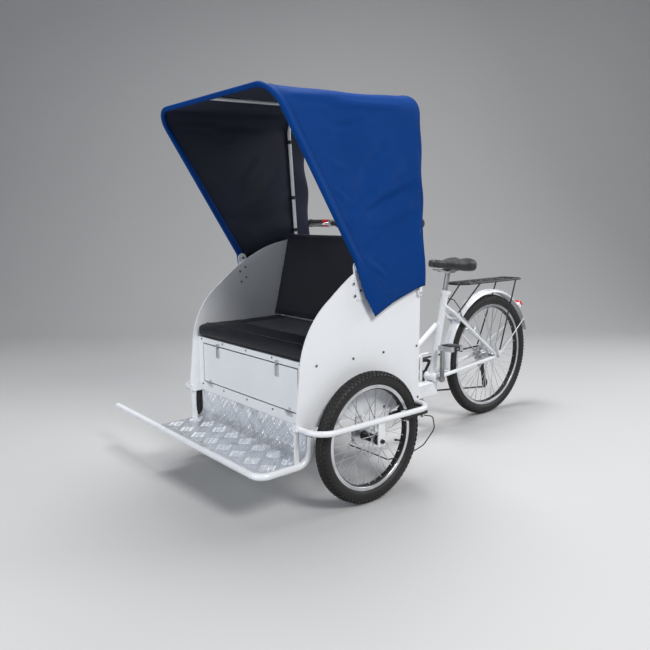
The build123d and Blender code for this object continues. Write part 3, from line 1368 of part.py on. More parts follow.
def crank_set():
    """Spindle, chainring with its five arms and both cranks, left one upright."""
    reach = CRANK_Y + CRANK_T
    solid = rod((BB_X, -reach, BB_Z), (BB_X, reach, BB_Z), SPINDLE_R)
    for side in (1, -1):
        y_in = side * CRANK_Y
        y_out = side * reach
        end_z = BB_Z + side * CRANK_L
        solid += rod((BB_X, y_in, BB_Z), (BB_X, y_out, BB_Z), CRANK_W * 0.7)
        solid += rod((BB_X, y_in, end_z), (BB_X, y_out, end_z), CRANK_W / 2)
        z_range = (BB_Z, end_z) if side > 0 else (end_z, BB_Z)
        y_range = (y_in, y_out) if side > 0 else (y_out, y_in)
        solid += block((BB_X - CRANK_W / 2 + 2, BB_X + CRANK_W / 2 - 2), y_range, z_range)
        solid += rod((BB_X, y_out, end_z), (BB_X, y_out + side * (PEDAL_W + 6), end_z), PEDAL_AXLE_R)
    ring_low = CHAIN_Y - RING_T / 2
    ring = Pos(BB_X, 0, BB_Z) * toothed_disc(RING_R, ring_low, RING_T)
    ring -= rod((BB_X, ring_low, BB_Z), (BB_X, ring_low + RING_T, BB_Z), RING_R - RING_BAND)
    arm_l = RING_R - RING_BAND / 2
    plane = Plane(origin=(BB_X, ring_low + RING_T, BB_Z), z_dir=(0, -1, 0))
    for index in range(RING_ARMS):
        arm = plane * Rot(0, 0, 360 / RING_ARMS * index) * Pos(arm_l / 2, 0) * Rectangle(arm_l, RING_ARM_W)
        ring += extrude(arm, 2 * RING_T)
    ring += rod((BB_X, -CRANK_Y - RING_T, BB_Z), (BB_X, ring_low + RING_T, BB_Z), RING_BOSS_R)
    return solid + ring


def pedal(side):
    """Cage pedal round its axle: a core, two side plates and end plates."""
    y_in = CRANK_Y + CRANK_T + 2
    y_out = y_in + PEDAL_W
    half_l = PEDAL_L / 2
    half_h = PEDAL_H / 2
    z = BB_Z + CRANK_L
    frame = block((BB_X - half_l, BB_X + half_l), (y_in, y_out), (z - half_h, z + half_h))
    wall = PEDAL_WALL
    for x_low, x_high in ((-half_l + wall, -12), (12, half_l - wall)):
        frame -= block((BB_X + x_low, BB_X + x_high), (y_in + wall, y_out - wall), (z - half_h, z + half_h))
    frame -= rod((BB_X, y_in, z), (BB_X, y_out, z), PEDAL_AXLE_R + PIVOT_GAP)
    if side < 0:
        frame = mirrored(frame)
        frame = Pos(0, 0, -2 * CRANK_L) * frame
    return frame


def chain_guard():
    """Bent rod over the chainring and the upper chain run, on a strap from the beam."""
    front_x, front_z = polar(BB, HOOP_R, HOOP_FRONT_DEG)
    side_x, side_z = polar(BB, HOOP_R, 40)
    top = (BB_X, CHAIN_Y, BB_Z + HOOP_R)
    arc = ThreePointArc((front_x, CHAIN_Y, front_z), (side_x, CHAIN_Y, side_z), top)
    run = Line((BB_X, CHAIN_Y, BB_Z + HOOP_R), (HOOP_REAR_X, CHAIN_Y, BB_Z + HOOP_R))
    path = Wire([arc, run])
    start = Plane(origin=path @ 0, z_dir=path % 0)
    solid = sweep(start * Circle(HOOP_TUBE_R), path=path)
    strap_x = BB_X + 40
    strap_y = -BEAM_W / 2 - 12
    top_z = BB_Z + HOOP_R - 8
    solid += block((strap_x - 10, strap_x + 10), (strap_y - 3, strap_y), (BEAM_TOP_Z - 30, top_z))
    solid += block((strap_x - 10, strap_x + 10), (CHAIN_Y, strap_y), (top_z - 6, top_z))
    solid += block((strap_x - 10, strap_x + 10), (strap_y, -BEAM_W / 2), (BEAM_TOP_Z - 30, BEAM_TOP_Z - 12))
    return solid


def rear_derailleur():
    """Cage with two pulleys under the right dropout, on a hanger arm."""
    y_in = CHAIN_Y + CHAIN_W / 2 + GAP
    y_out = CHAIN_Y - CHAIN_W / 2 - GAP
    solid = None
    for x, z in (GUIDE_PULLEY, TENSION_PULLEY):
        pulley = rod((x, y_out, z), (x, y_in, z), PULLEY_R * 0.5)
        pulley += rod((x, CHAIN_Y - 3, z), (x, CHAIN_Y + 3, z), PULLEY_R)
        solid = pulley if solid is None else solid + pulley
    gx, gz = GUIDE_PULLEY
    tx, tz = TENSION_PULLEY
    length = hypot(tx - gx, tz - gz)
    tilt = degrees(atan2(tz - gz, tx - gx))
    centre = ((gx + tx) / 2, (gz + tz) / 2)
    for low in (y_in, y_out - CAGE_T):
        plane = Plane(origin=(centre[0], low, centre[1]), x_dir=(1, 0, 0), z_dir=(0, -1, 0))
        slot = plane * Rot(0, 0, tilt) * SlotCenterToCenter(length, 20)
        cage = extrude(slot, -CAGE_T)
        solid += cage
    knuckle_y = (y_out - CAGE_T - 16, y_out - CAGE_T)
    arm_y = knuckle_y[0] + DERAILLEUR_ARM_R - 2
    solid += rod((gx, knuckle_y[0], gz), (gx, knuckle_y[1], gz), 14)
    hang_x = REAR_AXLE.X - 4
    hang_z = REAR_AXLE.Z - REAR_DROPOUT_R - 12
    solid += rod((gx, arm_y, gz), (hang_x, arm_y, hang_z), DERAILLEUR_ARM_R)
    outer = -(REAR_DROPOUT_Y + REAR_DROPOUT_T)
    solid += rod((hang_x, arm_y + DERAILLEUR_ARM_R, hang_z), (hang_x, outer - 6, hang_z), 9)
    solid += block((hang_x - 8, hang_x + 8), (outer - 6, outer), (hang_z, REAR_AXLE.Z - AXLE_NUT_R - 2))
    return solid


def mudguard():
    """Curved band over the rear wheel with two pairs of stays."""
    crown = MUDGUARD_R
    half = MUDGUARD_HALF_W
    lip = crown - MUDGUARD_LIP
    outer = ThreePointArc((half, lip), (0, crown), (-half, lip))
    inner = ThreePointArc(
        (-half + MUDGUARD_T, lip), (0, crown - MUDGUARD_T), (half - MUDGUARD_T, lip)
    )
    left = Line((-half, lip), (-half + MUDGUARD_T, lip))
    right = Line((half - MUDGUARD_T, lip), (half, lip))
    face = Plane.YZ * make_face(outer + left + inner + right)
    sweep_deg = MUDGUARD_REAR_DEG - MUDGUARD_FRONT_DEG
    band = revolve(face, axis=Axis.Y, revolution_arc=sweep_deg)
    centre = Pos(REAR_AXLE.X, 0, REAR_AXLE.Z)
    band = centre * Rot(0, 90 - MUDGUARD_REAR_DEG, 0) * band
    tip_x, tip_z = polar(REAR_AXLE, lip + 3, MUDGUARD_STAY_DEG)
    outer_y = REAR_DROPOUT_Y + REAR_DROPOUT_T
    for side in (1, -1):
        foot = (REAR_AXLE.X - 22, side * (outer_y + MUDGUARD_STAY_R + STAY_LEAN), REAR_AXLE.Z + 14)
        band += rod(foot, (tip_x, side * (half - 1), tip_z), MUDGUARD_STAY_R)
    return band


def tail_lamp():
    """Housing and lens of the lamp on the back of the mudguard."""
    x, z = polar(REAR_AXLE, MUDGUARD_R, LAMP_DEG)
    out = Vector(cos(radians(LAMP_DEG)), 0, sin(radians(LAMP_DEG)))
    plane = Plane(origin=(x, 0, z), x_dir=(0, 1, 0), z_dir=out)
    housing = extrude(plane * RectangleRounded(LAMP_W, LAMP_H, 8), LAMP_T * 0.55)
    lens_plane = plane.offset(LAMP_T * 0.55)
    lens = extrude(lens_plane * RectangleRounded(LAMP_W, LAMP_H, 8), LAMP_T * 0.45)
    return housing - mudguard_drum(), lens


def mudguard_drum():
    """Full ring that the mudguard is cut from."""
    return rod(
        (REAR_AXLE.X, -MUDGUARD_HALF_W, REAR_AXLE.Z), (REAR_AXLE.X, MUDGUARD_HALF_W, REAR_AXLE.Z),
        MUDGUARD_R,
    )


def carrier():
    """Wire carrier: bent outer loop, long and cross rods, struts and legs."""
    half = CARRIER_HALF_W
    rear = CARRIER_REAR_X
    front = CARRIER_FRONT_X
    z = CARRIER_Z
    loop = (
        (front - 60, half, z), (rear, half, z), (rear, -half, z), (front - 60, -half, z),
    )
    solid = tube(loop, CARRIER_BEND, CARRIER_R)
    nose = ((front - 60, half, z), (front, half * 0.5, z), (front, -half * 0.5, z), (front - 60, -half, z))
    solid += tube(nose, 12, CARRIER_R)
    for y in (-22, 22):
        solid += rod((front, y, z), (rear, y, z), CARRIER_BAR_R)
    for share in CARRIER_CROSS_BARS:
        x = front + (rear - front) * share
        solid += rod((x, -half, z), (x, half, z), CARRIER_BAR_R)
    outer_y = REAR_DROPOUT_Y + REAR_DROPOUT_T
    knee = Vector(SEATSTAY_KNEE[0] - 14, 0, SEATSTAY_KNEE[1] + 2)
    for side in (1, -1):
        strut_foot = (knee.X, side * (SEATSTAY_KNEE_Y + SEATSTAY_R + CARRIER_LEG_R + 1), knee.Z)
        solid += rod((CARRIER_STRUT_X, side * half, z), strut_foot, CARRIER_LEG_R)
        leg_foot = (REAR_AXLE.X - 12, side * (outer_y + CARRIER_LEG_R + 0.8), REAR_AXLE.Z + 34)
        solid += rod((CARRIER_LEG_X, side * half, z), leg_foot, CARRIER_LEG_R)
    return solid


def rim_brake():
    """Left pair of long brake arms on their studs, each with a shoe against the rim."""
    arms = []
    angle = radians(PAD_DEG)
    pad_x = (FRONT_RIM_R - PAD_H) * cos(angle)
    pad_z = FRONT_TYRE_R + (FRONT_RIM_R - PAD_H) * sin(angle)
    half_z = BRAKE_ARM_W / 2
    z_range = (BRAKE_ARM_Z - half_z, BRAKE_ARM_Z + half_z)
    for side in (1, -1):
        stud_y = FRONT_WHEEL_Y + side * BRAKE_SPREAD
        face_y = FRONT_WHEEL_Y + side * (RIM_W / 2 + PAD_GAP)
        arm_y = sorted((stud_y - side * BRAKE_ARM_T / 2, stud_y + side * BRAKE_ARM_T / 2))
        arm = block((BRAKE_END_X, BRAKE_PIVOT_X), arm_y, z_range)
        low, high = z_range
        arm += rod((BRAKE_PIVOT_X, stud_y, low), (BRAKE_PIVOT_X, stud_y, high), BRAKE_ARM_W * 0.7)
        arm -= rod(
            (BRAKE_PIVOT_X, stud_y, z_range[0]), (BRAKE_PIVOT_X, stud_y, z_range[1]),
            BRAKE_STUD_R + PIVOT_GAP,
        )
        y_range = sorted((face_y, face_y + side * PAD_T))
        shoe = block((-PAD_H / 2, PAD_H / 2), y_range, (-PAD_L / 2, PAD_L / 2))
        shoe = Pos(pad_x, 0, pad_z) * Rot(0, 180 - PAD_DEG, 0) * shoe
        post = rod((pad_x, face_y + side * PAD_T / 2, pad_z), (pad_x, stud_y, pad_z), BRAKE_STUD_R)
        arms.append(arm + shoe + post)
    return arms


def build_nodes():
    """Every named piece of the rickshaw, by name."""
    nodes = {}
    left_wheel, left_tyre = front_wheel_parts()
    axle = front_axle()
    guard = wheel_guard()
    panel = side_panel()
    tab = bow_tab()
    for name, side in SIDES:
        nodes["wheel_front_" + name] = on_side(left_wheel, side)
        nodes["tyre_front_" + name] = on_side(left_tyre, side)
        nodes["side_panel_" + name] = on_side(panel, side)
    nodes["wheel_guards"] = group(guard, mirrored(guard))
    corner_plates = guard_plates(guard)
    nodes["guard_plates"] = group(*corner_plates, *map(mirrored, corner_plates))
    drum = drum_brake()
    nodes["drum_brakes"] = group(drum, mirrored(drum))
    cable = drum_cable() - drum - guard
    nodes["drum_cables"] = group(cable, mirrored(cable))
    nodes["axles_front"] = group(axle, mirrored(axle))
    nodes["bow_tabs"] = group(tab, mirrored(tab))
    nodes["carriage_frame"] = carriage_frame()
    nodes["box_floor"] = box_floor()
    nodes["front_wall"] = front_wall()
    nodes["rear_wall"] = rear_wall()
    nodes["seat_board"] = seat_board()
    nodes["back_board"] = back_board()
    nodes["seat_cushion"] = seat_cushion()
    nodes["back_cushion"] = back_cushion()
    nodes["box_door"] = box_door()
    fixed, moving = door_hinges()
    latches, catches = door_latches()
    nodes["wall_fittings"] = group(*fixed, *catches)
    nodes["door_fittings"] = group(*moving, *latches)
    nodes["footrest_frame"] = footrest_frame()
    nodes["footrest_plate"] = footrest_plate()
    front_bow, rear_bow = canopy_bows()
    nodes["canopy_bow_front"] = front_bow
    nodes["canopy_bow_rear"] = rear_bow
    nodes["bow_bolts"] = bow_bolts()
    nodes["canopy_stay"] = canopy_stay(front_bow + rear_bow)
    nodes["canopy_cover"] = canopy_cover()
    nodes["handlebar"] = handlebar()
    nodes["grips"] = group(grip(1), grip(-1))
    nodes["twist_collar"] = twist_collar()
    nodes["brake_levers"] = group(brake_lever(1), brake_lever(-1))
    nodes["main_beam"] = main_beam()
    nodes["rear_frame"] = rear_frame()
    nodes["seatpost"] = seatpost()
    nodes["seat_clamp"] = seat_clamp()
    nodes["rear_brake"] = rear_brake()
    nodes["rear_brake_cable"] = rear_cable()
    nodes["saddle"] = saddle()
    nodes["saddle_rails"] = saddle_rails()
    rear_wheel, rear_tyre = rear_wheel_parts()
    nodes["wheel_rear"] = rear_wheel
    nodes["tyre_rear"] = rear_tyre
    nodes["axle_rear"] = rear_axle()
    nodes["cassette"] = Pos(REAR_AXLE.X, 0, REAR_AXLE.Z) * cassette()
    nodes["crank_set"] = crank_set()
    nodes["pedal_left"] = pedal(1)
    nodes["pedal_right"] = pedal(-1)
    nodes["chain"] = chain()
    nodes["chain_guard"] = chain_guard()
    nodes["rear_derailleur"] = rear_derailleur()
    nodes["mudguard"] = mudguard()
    housing, lens = tail_lamp()
    nodes["lamp_housing"] = housing
    nodes["lamp_lens"] = lens
    nodes["carrier"] = carrier()
    brake_arms = rim_brake()
    nodes["rim_brakes"] = group(*brake_arms, *map(mirrored, brake_arms))
    return nodes


def write(nodes):
    """Move the model so that its origin is the bottom centre of its box, and save."""
    os.makedirs("parts", exist_ok=True)
    box = group(*nodes.values()).bounding_box()
    shift = Vector(-box.center().X, -box.center().Y, -box.min.Z)
    print("shift", round(shift.X, 3), round(shift.Y, 3), round(shift.Z, 3))
    print("size", [round(value, 2) for value in box.size])
    for name, shape in nodes.items():
        export_step(Pos(shift.X, shift.Y, shift.Z) * shape, "parts/" + name + ".step")


write(build_nodes())
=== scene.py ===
import bisect
import functools
import math

import bmesh
import bpy
from bpy.props import FloatProperty, FloatVectorProperty, PointerProperty
from mathutils import Matrix, Vector
from mathutils.bvhtree import BVHTree


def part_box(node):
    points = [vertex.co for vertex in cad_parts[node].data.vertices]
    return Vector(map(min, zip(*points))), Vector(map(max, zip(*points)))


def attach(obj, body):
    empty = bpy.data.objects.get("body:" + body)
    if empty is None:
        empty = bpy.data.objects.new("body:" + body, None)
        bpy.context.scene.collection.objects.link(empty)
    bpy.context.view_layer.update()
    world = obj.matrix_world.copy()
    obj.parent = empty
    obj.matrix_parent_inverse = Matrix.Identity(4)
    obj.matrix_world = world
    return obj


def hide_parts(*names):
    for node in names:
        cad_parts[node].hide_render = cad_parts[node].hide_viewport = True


bl_info = {
    "name": "Cycle Rickshaw",
    "version": (1, 0, 0),
    "blender": (4, 5, 0),
    "location": "3D View > Sidebar > Rickshaw",
    "description": "Dresses the packed cycle rickshaw: hood, cushions, tyres, fittings, finishes and stage",
    "category": "Object",
}

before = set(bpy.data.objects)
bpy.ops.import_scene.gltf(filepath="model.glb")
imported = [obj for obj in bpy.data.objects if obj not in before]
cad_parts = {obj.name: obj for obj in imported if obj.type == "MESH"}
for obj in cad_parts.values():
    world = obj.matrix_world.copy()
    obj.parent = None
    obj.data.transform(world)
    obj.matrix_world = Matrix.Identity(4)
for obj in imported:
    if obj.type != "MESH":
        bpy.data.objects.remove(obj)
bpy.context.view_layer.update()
LEFT_TYRE, RIGHT_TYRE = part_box("tyre_front_left"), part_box("tyre_front_right")
SHIFT = Vector(((LEFT_TYRE[0].x + LEFT_TYRE[1].x) / 2, (LEFT_TYRE[1].y + RIGHT_TYRE[0].y) / 2, 0.0))
CARRIAGE = "carriage_body"
REAR = "rear_frame_body"

# Places of the CAD model in millimetres from the ground under the front axles
CHAIN_Y = -54
CRANK_AXLE, REAR_AXLE = (-866, 0, 280), (-1330, 0, 336)
GUIDE_PULLEY, TENSION_PULLEY = (-1362, 0, 262), (-1390, 0, 150)
# Parts of the drive with a colour of their own, in metres: half width and radius without its teeth
# of the chainring, half width and radius of the pulleys, half length of the pedals' black body
RING_HALF, RING_R = 0.0054, 0.0840
PULLEY_HALF, PULLEY_R = 0.00275, 0.01475
PEDAL_BODY = 0.022
# Per wheel: name, axle place, tyre radius, tyre half width, rim radius, valve angle in degrees
WHEELS = (
    ("front_left", (0, 440, 260), 260, 27, 208, 197),
    ("front_right", (0, -440, 260), 260, 27, 208, 80),
    ("rear", REAR_AXLE, 336, 25, 284, 12),
)


def at(x, y, z):
    """A point given in millimetres from the ground under the front axles, in the frame's metres."""
    return Vector((x / 1000, y / 1000, z / 1000)) + SHIFT


# Shader expressions


def maths(operation, swapped=False):
    """Method that adds a math node for a field and the values it is joined with."""
    def method(self, *others):
        values = (*others, self) if swapped else (self, *others)
        return self.finish.node("ShaderNodeMath", {"operation": operation}, dict(enumerate(values)))
    return method


class Field:
    """A socket that can be written in sums, products and comparisons."""

    def __init__(self, finish, socket):
        self.finish = finish
        self.socket = socket

    __add__ = __radd__ = maths("ADD")
    __sub__, __rsub__ = maths("SUBTRACT"), maths("SUBTRACT", swapped=True)
    __mul__ = __rmul__ = maths("MULTIPLY")
    sine, sqrt, abs = maths("SINE"), maths("SQRT"), maths("ABSOLUTE")

    def above(self, low, high):
        """0 below low, 1 above high, smooth between."""
        settings = {"interpolation_type": "SMOOTHSTEP"}
        return self.finish.node("ShaderNodeMapRange", settings, {0: self, 1: low, 2: high, 3: 0.0, 4: 1.0})

    def below(self, low, high):
        """1 below low, 0 above high, smooth between."""
        return 1 - self.above(low, high)

    def within(self, edge, soft):
        """1 below an edge and 0 above it, smooth over soft to each side."""
        return self.below(edge - soft, edge + soft)

    def clamp(self):
        """The value held between 0 and 1."""
        return self.finish.node("ShaderNodeMath", {"operation": "ADD", "use_clamp": True}, {0: self, 1: 0.0})


class Finish:
    """A material whose nodes are added one by one and which returns them as fields."""

    def __init__(self, name):
        self.material = bpy.data.materials.new(name)
        self.material.use_nodes = True
        self.tree = self.material.node_tree
        self.tree.nodes.clear()
        self.output = self.tree.nodes.new("ShaderNodeOutputMaterial")
        # position on the piece, in metres
        self.place = self.node("ShaderNodeTexCoord", output="Object")

    def node(self, kind, settings=None, inputs=None, output=0):
        node = self.tree.nodes.new(kind)
        for name, value in (settings or {}).items():
            setattr(node, name, value)
        for key, value in (inputs or {}).items():
            socket = node.inputs[key]
            if isinstance(value, Field):
                self.tree.links.new(value.socket, socket)
            else:
                socket.default_value = value
        return Field(self, node.outputs[output])

    def axis(self, letter):
        return self.node("ShaderNodeSeparateXYZ", inputs={0: self.place}, output="XYZ".index(letter))

    def moved(self, location=(0, 0, 0), rotation=(0, 0, 0), scale=(1, 1, 1)):
        inputs = {"Vector": self.place, "Location": location, "Rotation": rotation, "Scale": scale}
        return self.node("ShaderNodeMapping", {"vector_type": "POINT"}, inputs)

    def noise(self, scale, detail, vector=None):
        inputs = {"Vector": vector or self.place, "Scale": scale, "Detail": detail}
        return self.node("ShaderNodeTexNoise", inputs=inputs)

    def cells(self, scale):
        """Distance to the edge of a cell, for grained vinyl."""
        inputs = {"Vector": self.place, "Scale": scale}
        return self.node("ShaderNodeTexVoronoi", {"feature": "DISTANCE_TO_EDGE"}, inputs)

    def mix(self, factor, first, second):
        """Colour between first and second."""
        settings = {"data_type": "RGBA", "clamp_factor": True}
        inputs = {0: factor, 6: wide(first), 7: wide(second)}
        return self.node("ShaderNodeMix", settings, inputs, output=2)

    def radius(self, centre):
        """Distance from the crosswise axis through a point."""
        moved = self.moved(tuple(-value for value in centre))
        x, z = (self.node("ShaderNodeSeparateXYZ", inputs={0: moved}, output=i) for i in (0, 2))
        return (x * x + z * z).sqrt()

    def surface(self, color, roughness, bump, strength, depth, **constants):
        """Principled shader; constants are set on its own sockets."""
        bumps = {"Height": bump, "Strength": strength, "Distance": depth}
        inputs = {"Base Color": color, "Roughness": roughness}
        inputs["Normal"] = self.node("ShaderNodeBump", inputs=bumps)
        for name, value in constants.items():
            inputs[name.replace("_", " ")] = value
        shader = self.node("ShaderNodeBsdfPrincipled", inputs=inputs)
        self.tree.links.new(shader.socket, self.output.inputs["Surface"])
        return self.material


def wide(color):
    """A colour with its alpha, or a field as it is."""
    return color if isinstance(color, Field) else (*color, 1.0)


# Shape helpers


def linked(name, data):
    """A new object in the scene."""
    item = bpy.data.objects.new(name, data)
    bpy.context.scene.collection.objects.link(item)
    return item


def dress(mesh, material):
    """Gives a mesh one material in place of what it has."""
    mesh.materials.clear()
    mesh.materials.append(material)


def shade(mesh, smooth=True):
    """Smooth or flat faces for the whole mesh."""
    mesh.polygons.foreach_set("use_smooth", [smooth] * len(mesh.polygons))


def saved(bm, name):
    """The mesh that a bmesh holds."""
    mesh = bpy.data.meshes.new(name)
    bm.to_mesh(mesh)
    bm.free()
    return mesh


def piece(name, mesh, material, body, smooth=True):
    """A finished mesh as a piece that rides on a body."""
    item = linked(name, mesh)
    dress(mesh, material)
    shade(mesh, smooth)
    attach(item, body)
    return item


def closed_mesh(name, build):
    """Mesh from a bmesh that build fills, with doubles merged and faces outwards."""
    bm = bmesh.new()
    build(bm)
    bmesh.ops.remove_doubles(bm, verts=bm.verts, dist=1e-6)
    bmesh.ops.recalc_face_normals(bm, faces=bm.faces)
    return saved(bm, name)


def add_grid(bm, rows, close_rows=False, close_columns=False):
    """Quads between rows of points; returns the vertices."""
    verts = [[bm.verts.new(point) for point in row] for row in rows]
    count = len(verts)
    width = len(verts[0])
    for i in range(count if close_rows else count - 1):
        for j in range(width if close_columns else width - 1):
            a, b = verts[i], verts[(i + 1) % count]
            k = (j + 1) % width
            bm.faces.new((a[j], b[j], b[k], a[k]))
    return verts


def ring_ways(axis, steps):
    """Unit vectors all round an axis."""
    side = axis.orthogonal().normalized()
    other = axis.cross(side)
    angles = [2 * math.pi * step / steps for step in range(steps)]
    return [side * math.cos(angle) + other * math.sin(angle) for angle in angles]


def wheel_way(angle):
    """Unit vector in the plane of the wheels, at an angle from straight ahead."""
    return Vector((math.cos(angle), 0, math.sin(angle)))


def add_lathe(bm, profile, centre, axis, steps, close=True):
    """Turns a profile of (along, radius) round an axis through centre."""
    axis = Vector(axis).normalized()
    rows = [
        [centre + axis * along + out * radius for along, radius in profile] for out in ring_ways(axis, steps)
    ]
    add_grid(bm, rows, close_rows=True, close_columns=close)


def turned(name, places, profile, steps, material, body, slot, close=True):
    """A piece with one turned shape at each place, given as (centre, axis)."""
    def build(bm):
        for centre, axis in places:
            add_lathe(bm, profile, centre, axis, steps, close)
    return piece(name, closed_mesh(name, build), material, body)


def turned_unit(name, profile, sides):
    """Unit shape turned round +Z from a profile of (height, radius)."""
    origin = Vector((0, 0, 0))
    return closed_mesh(name, lambda bm: add_lathe(bm, profile, origin, (0, 0, 1), sides, close=False))


def stacked_unit(name, ring, levels):
    """Unit shape with one outline at several levels, given as (size, height), closed on top."""
    def build(bm):
        rows = [[Vector((x * size, y * size, z)) for x, y in ring] for size, z in levels]
        bm.faces.new(add_grid(bm, rows, close_columns=True)[-1])
    return closed_mesh(name, build)


def smooth_path(points, step):
    """Points along a Catmull-Rom line through the given ones, about a step apart."""
    ends = [points[0] * 2 - points[1]] + points + [points[-1] * 2 - points[-2]]
    path = []
    for a, b, c, d in zip(ends, ends[1:], ends[2:], ends[3:]):
        parts = max(2, int((c - b).length / step))
        for part in range(parts):
            t = part / parts
            line = 2 * b + (c - a) * t
            line += (2 * a - 5 * b + 4 * c - d) * t ** 2
            line += (3 * b - a - 3 * c + d) * t ** 3
            path.append(line / 2)
    return path + [points[-1]]


def add_tube(bm, path, radius, sides, caps=True):
    """Round tube along a path; radius is a number or one for each point."""
    radii = radius if isinstance(radius, (list, tuple)) else [radius] * len(path)
    normal = (path[1] - path[0]).orthogonal().normalized()
    rows = []
    for index, point in enumerate(path):
        ahead = path[min(index + 1, len(path) - 1)] - path[max(index - 1, 0)]
        ahead.normalize()
        normal = (normal - ahead * normal.dot(ahead)).normalized()
        other = ahead.cross(normal)
        ring = []
        for side in range(sides):
            angle = 2 * math.pi * side / sides
            ring.append(point + (normal * math.cos(angle) + other * math.sin(angle)) * radii[index])
        rows.append(ring)
    verts = add_grid(bm, rows, close_columns=True)
    if caps:
        bm.faces.new(verts[0])
        bm.faces.new(verts[-1])


def tree_node(tree, kind, links=None, **settings):
    """Adds a geometry node; links gives values or (node, output) pairs by input."""
    node = tree.nodes.new(kind)
    for name, value in settings.items():
        setattr(node, name, value)
    for key, value in (links or {}).items():
        if isinstance(value, tuple) and isinstance(value[0], bpy.types.Node):
            tree.links.new(value[0].outputs[value[1]], node.inputs[key])
        else:
            node.inputs[key].default_value = value
    return node


def copies_tree():
    """Geometry nodes: a unit shape on every point, turned and sized by its attributes."""
    tree = bpy.data.node_groups.new("Copies on points", "GeometryNodeTree")
    face = tree.interface
    for name, kind in (
        ("Geometry", "Geometry"), ("Unit", "Object"), ("Variation", "Float"), ("Seed", "Int"),
        ("Finish", "Material"),
    ):
        face.new_socket(name, in_out="INPUT", socket_type="NodeSocket" + kind)
    face.new_socket("Geometry", in_out="OUTPUT", socket_type="NodeSocketGeometry")
    entry = tree_node(tree, "NodeGroupInput")
    unit = tree_node(tree, "GeometryNodeObjectInfo", {"Object": (entry, "Unit")})
    turn, size = (
        tree_node(tree, "GeometryNodeInputNamedAttribute", {"Name": name}, data_type="FLOAT_VECTOR")
        for name in ("turn", "size")
    )
    low, high = (
        tree_node(tree, "ShaderNodeMath", {0: 1.0, 1: (entry, "Variation")}, operation=operation)
        for operation in ("SUBTRACT", "ADD")
    )
    spread = tree_node(
        tree, "FunctionNodeRandomValue", {2: (low, 0), 3: (high, 0), "Seed": (entry, "Seed")},
        data_type="FLOAT",
    )
    scale = tree_node(
        tree, "ShaderNodeVectorMath", {0: (size, "Attribute"), "Scale": (spread, 1)}, operation="SCALE"
    )
    put = tree_node(tree, "GeometryNodeInstanceOnPoints", {
        "Points": (entry, "Geometry"), "Instance": (unit, "Geometry"),
        "Rotation": (turn, "Attribute"), "Scale": (scale, 0),
    })
    real = tree_node(tree, "GeometryNodeRealizeInstances", {"Geometry": (put, "Instances")})
    paint = tree_node(
        tree, "GeometryNodeSetMaterial", {"Geometry": (real, "Geometry"), "Material": (entry, "Finish")}
    )
    tree_node(tree, "NodeGroupOutput", {"Geometry": (paint, "Geometry")})
    return tree


COPY_SEED = 7


def copies(name, spots, unit, material, body, variation=0.0, smooth=True):
    """Puts a unit mesh at each spot (point, outward direction, along direction, scale)."""
    tree = bpy.data.node_groups.get("Copies on points") or copies_tree()
    base = bpy.data.meshes.new(name + " spots")
    base.from_pydata([spot[0] for spot in spots], [], [])
    turns = base.attributes.new("turn", "FLOAT_VECTOR", "POINT")
    sizes = base.attributes.new("size", "FLOAT_VECTOR", "POINT")
    for index, (_, out, along, scale) in enumerate(spots):
        out = Vector(out).normalized()
        along = Vector(along)
        along = (along - out * along.dot(out)).normalized()
        matrix = Matrix((along, out.cross(along), out)).transposed()
        turns.data[index].vector = matrix.to_euler()
        sizes.data[index].vector = scale if hasattr(scale, "__len__") else (scale, scale, scale)
    holder, shape = linked(name + " holder", base), linked(name + " unit", unit)
    modifier = holder.modifiers.new("Copies", "NODES")
    modifier.node_group = tree
    values = {"Unit": shape, "Variation": variation, "Seed": COPY_SEED, "Finish": material}
    for item in tree.interface.items_tree:
        if item.item_type == "SOCKET" and item.in_out == "INPUT" and item.name in values:
            modifier[item.identifier] = values[item.name]
    graph = bpy.context.evaluated_depsgraph_get()
    mesh = bpy.data.meshes.new_from_object(holder.evaluated_get(graph))
    for extra in (holder, shape):
        bpy.data.objects.remove(extra)
    piece(name, mesh, material, body, smooth)


# Finishes


def look():
    return bpy.context.scene.rickshaw_look


def toned(color, share):
    """A colour made darker or lighter."""
    return tuple(value * share for value in color)


def finish(name):
    """Makes a finish by the function under it, once, when it is first asked for."""
    return lambda build: functools.cache(lambda: build(Finish(name)))


def plain(name, cloud, edges, tones, rough, bump, strength, depth, **constants):
    """A finish in two cloudy tones; bump is its grain, or nothing for the clouds themselves."""
    @finish(name)
    def build(f):
        clouds = f.noise(*cloud)
        color = f.mix(clouds.above(*edges), *tones)
        height = f.noise(*bump) if bump else clouds
        return f.surface(color, rough[0] + clouds * rough[1], height, strength, depth, **constants)
    return build


silver_alloy = plain(
    "Silver alloy", (11.0, 4.0), (0.4, 0.7), ((0.72, 0.73, 0.75), (0.55, 0.56, 0.58)),
    (0.24, 0.14), (800.0, 2.0), 0.05, 0.0003, Metallic=0.95,
)
dull_steel = plain(
    "Dull steel", (45.0, 4.0), (0.35, 0.7), ((0.20, 0.195, 0.19), (0.075, 0.072, 0.07)),
    (0.32, 0.2), None, 0.06, 0.0003, Metallic=0.85,
)
black_plastic = plain(
    "Black moulded plastic", (22.0, 3.0), (0.35, 0.7), ((0.014, 0.014, 0.015), (0.026, 0.026, 0.028)),
    (0.42, 0.12), (950.0, 2.0), 0.18, 0.0004,
)
white_plastic = plain(
    "White plastic", (15.0, 3.0), (0.3, 0.7), ((0.80, 0.81, 0.82), (0.74, 0.75, 0.76)),
    (0.32, 0.1), (500.0, 1.0), 0.06, 0.0003,
)
red_plastic = plain(
    "Red plastic", (60.0, 3.0), (0.3, 0.7), ((0.52, 0.012, 0.016), (0.40, 0.010, 0.014)),
    (0.3, 0.12), (700.0, 1.0), 0.08, 0.0003,
)
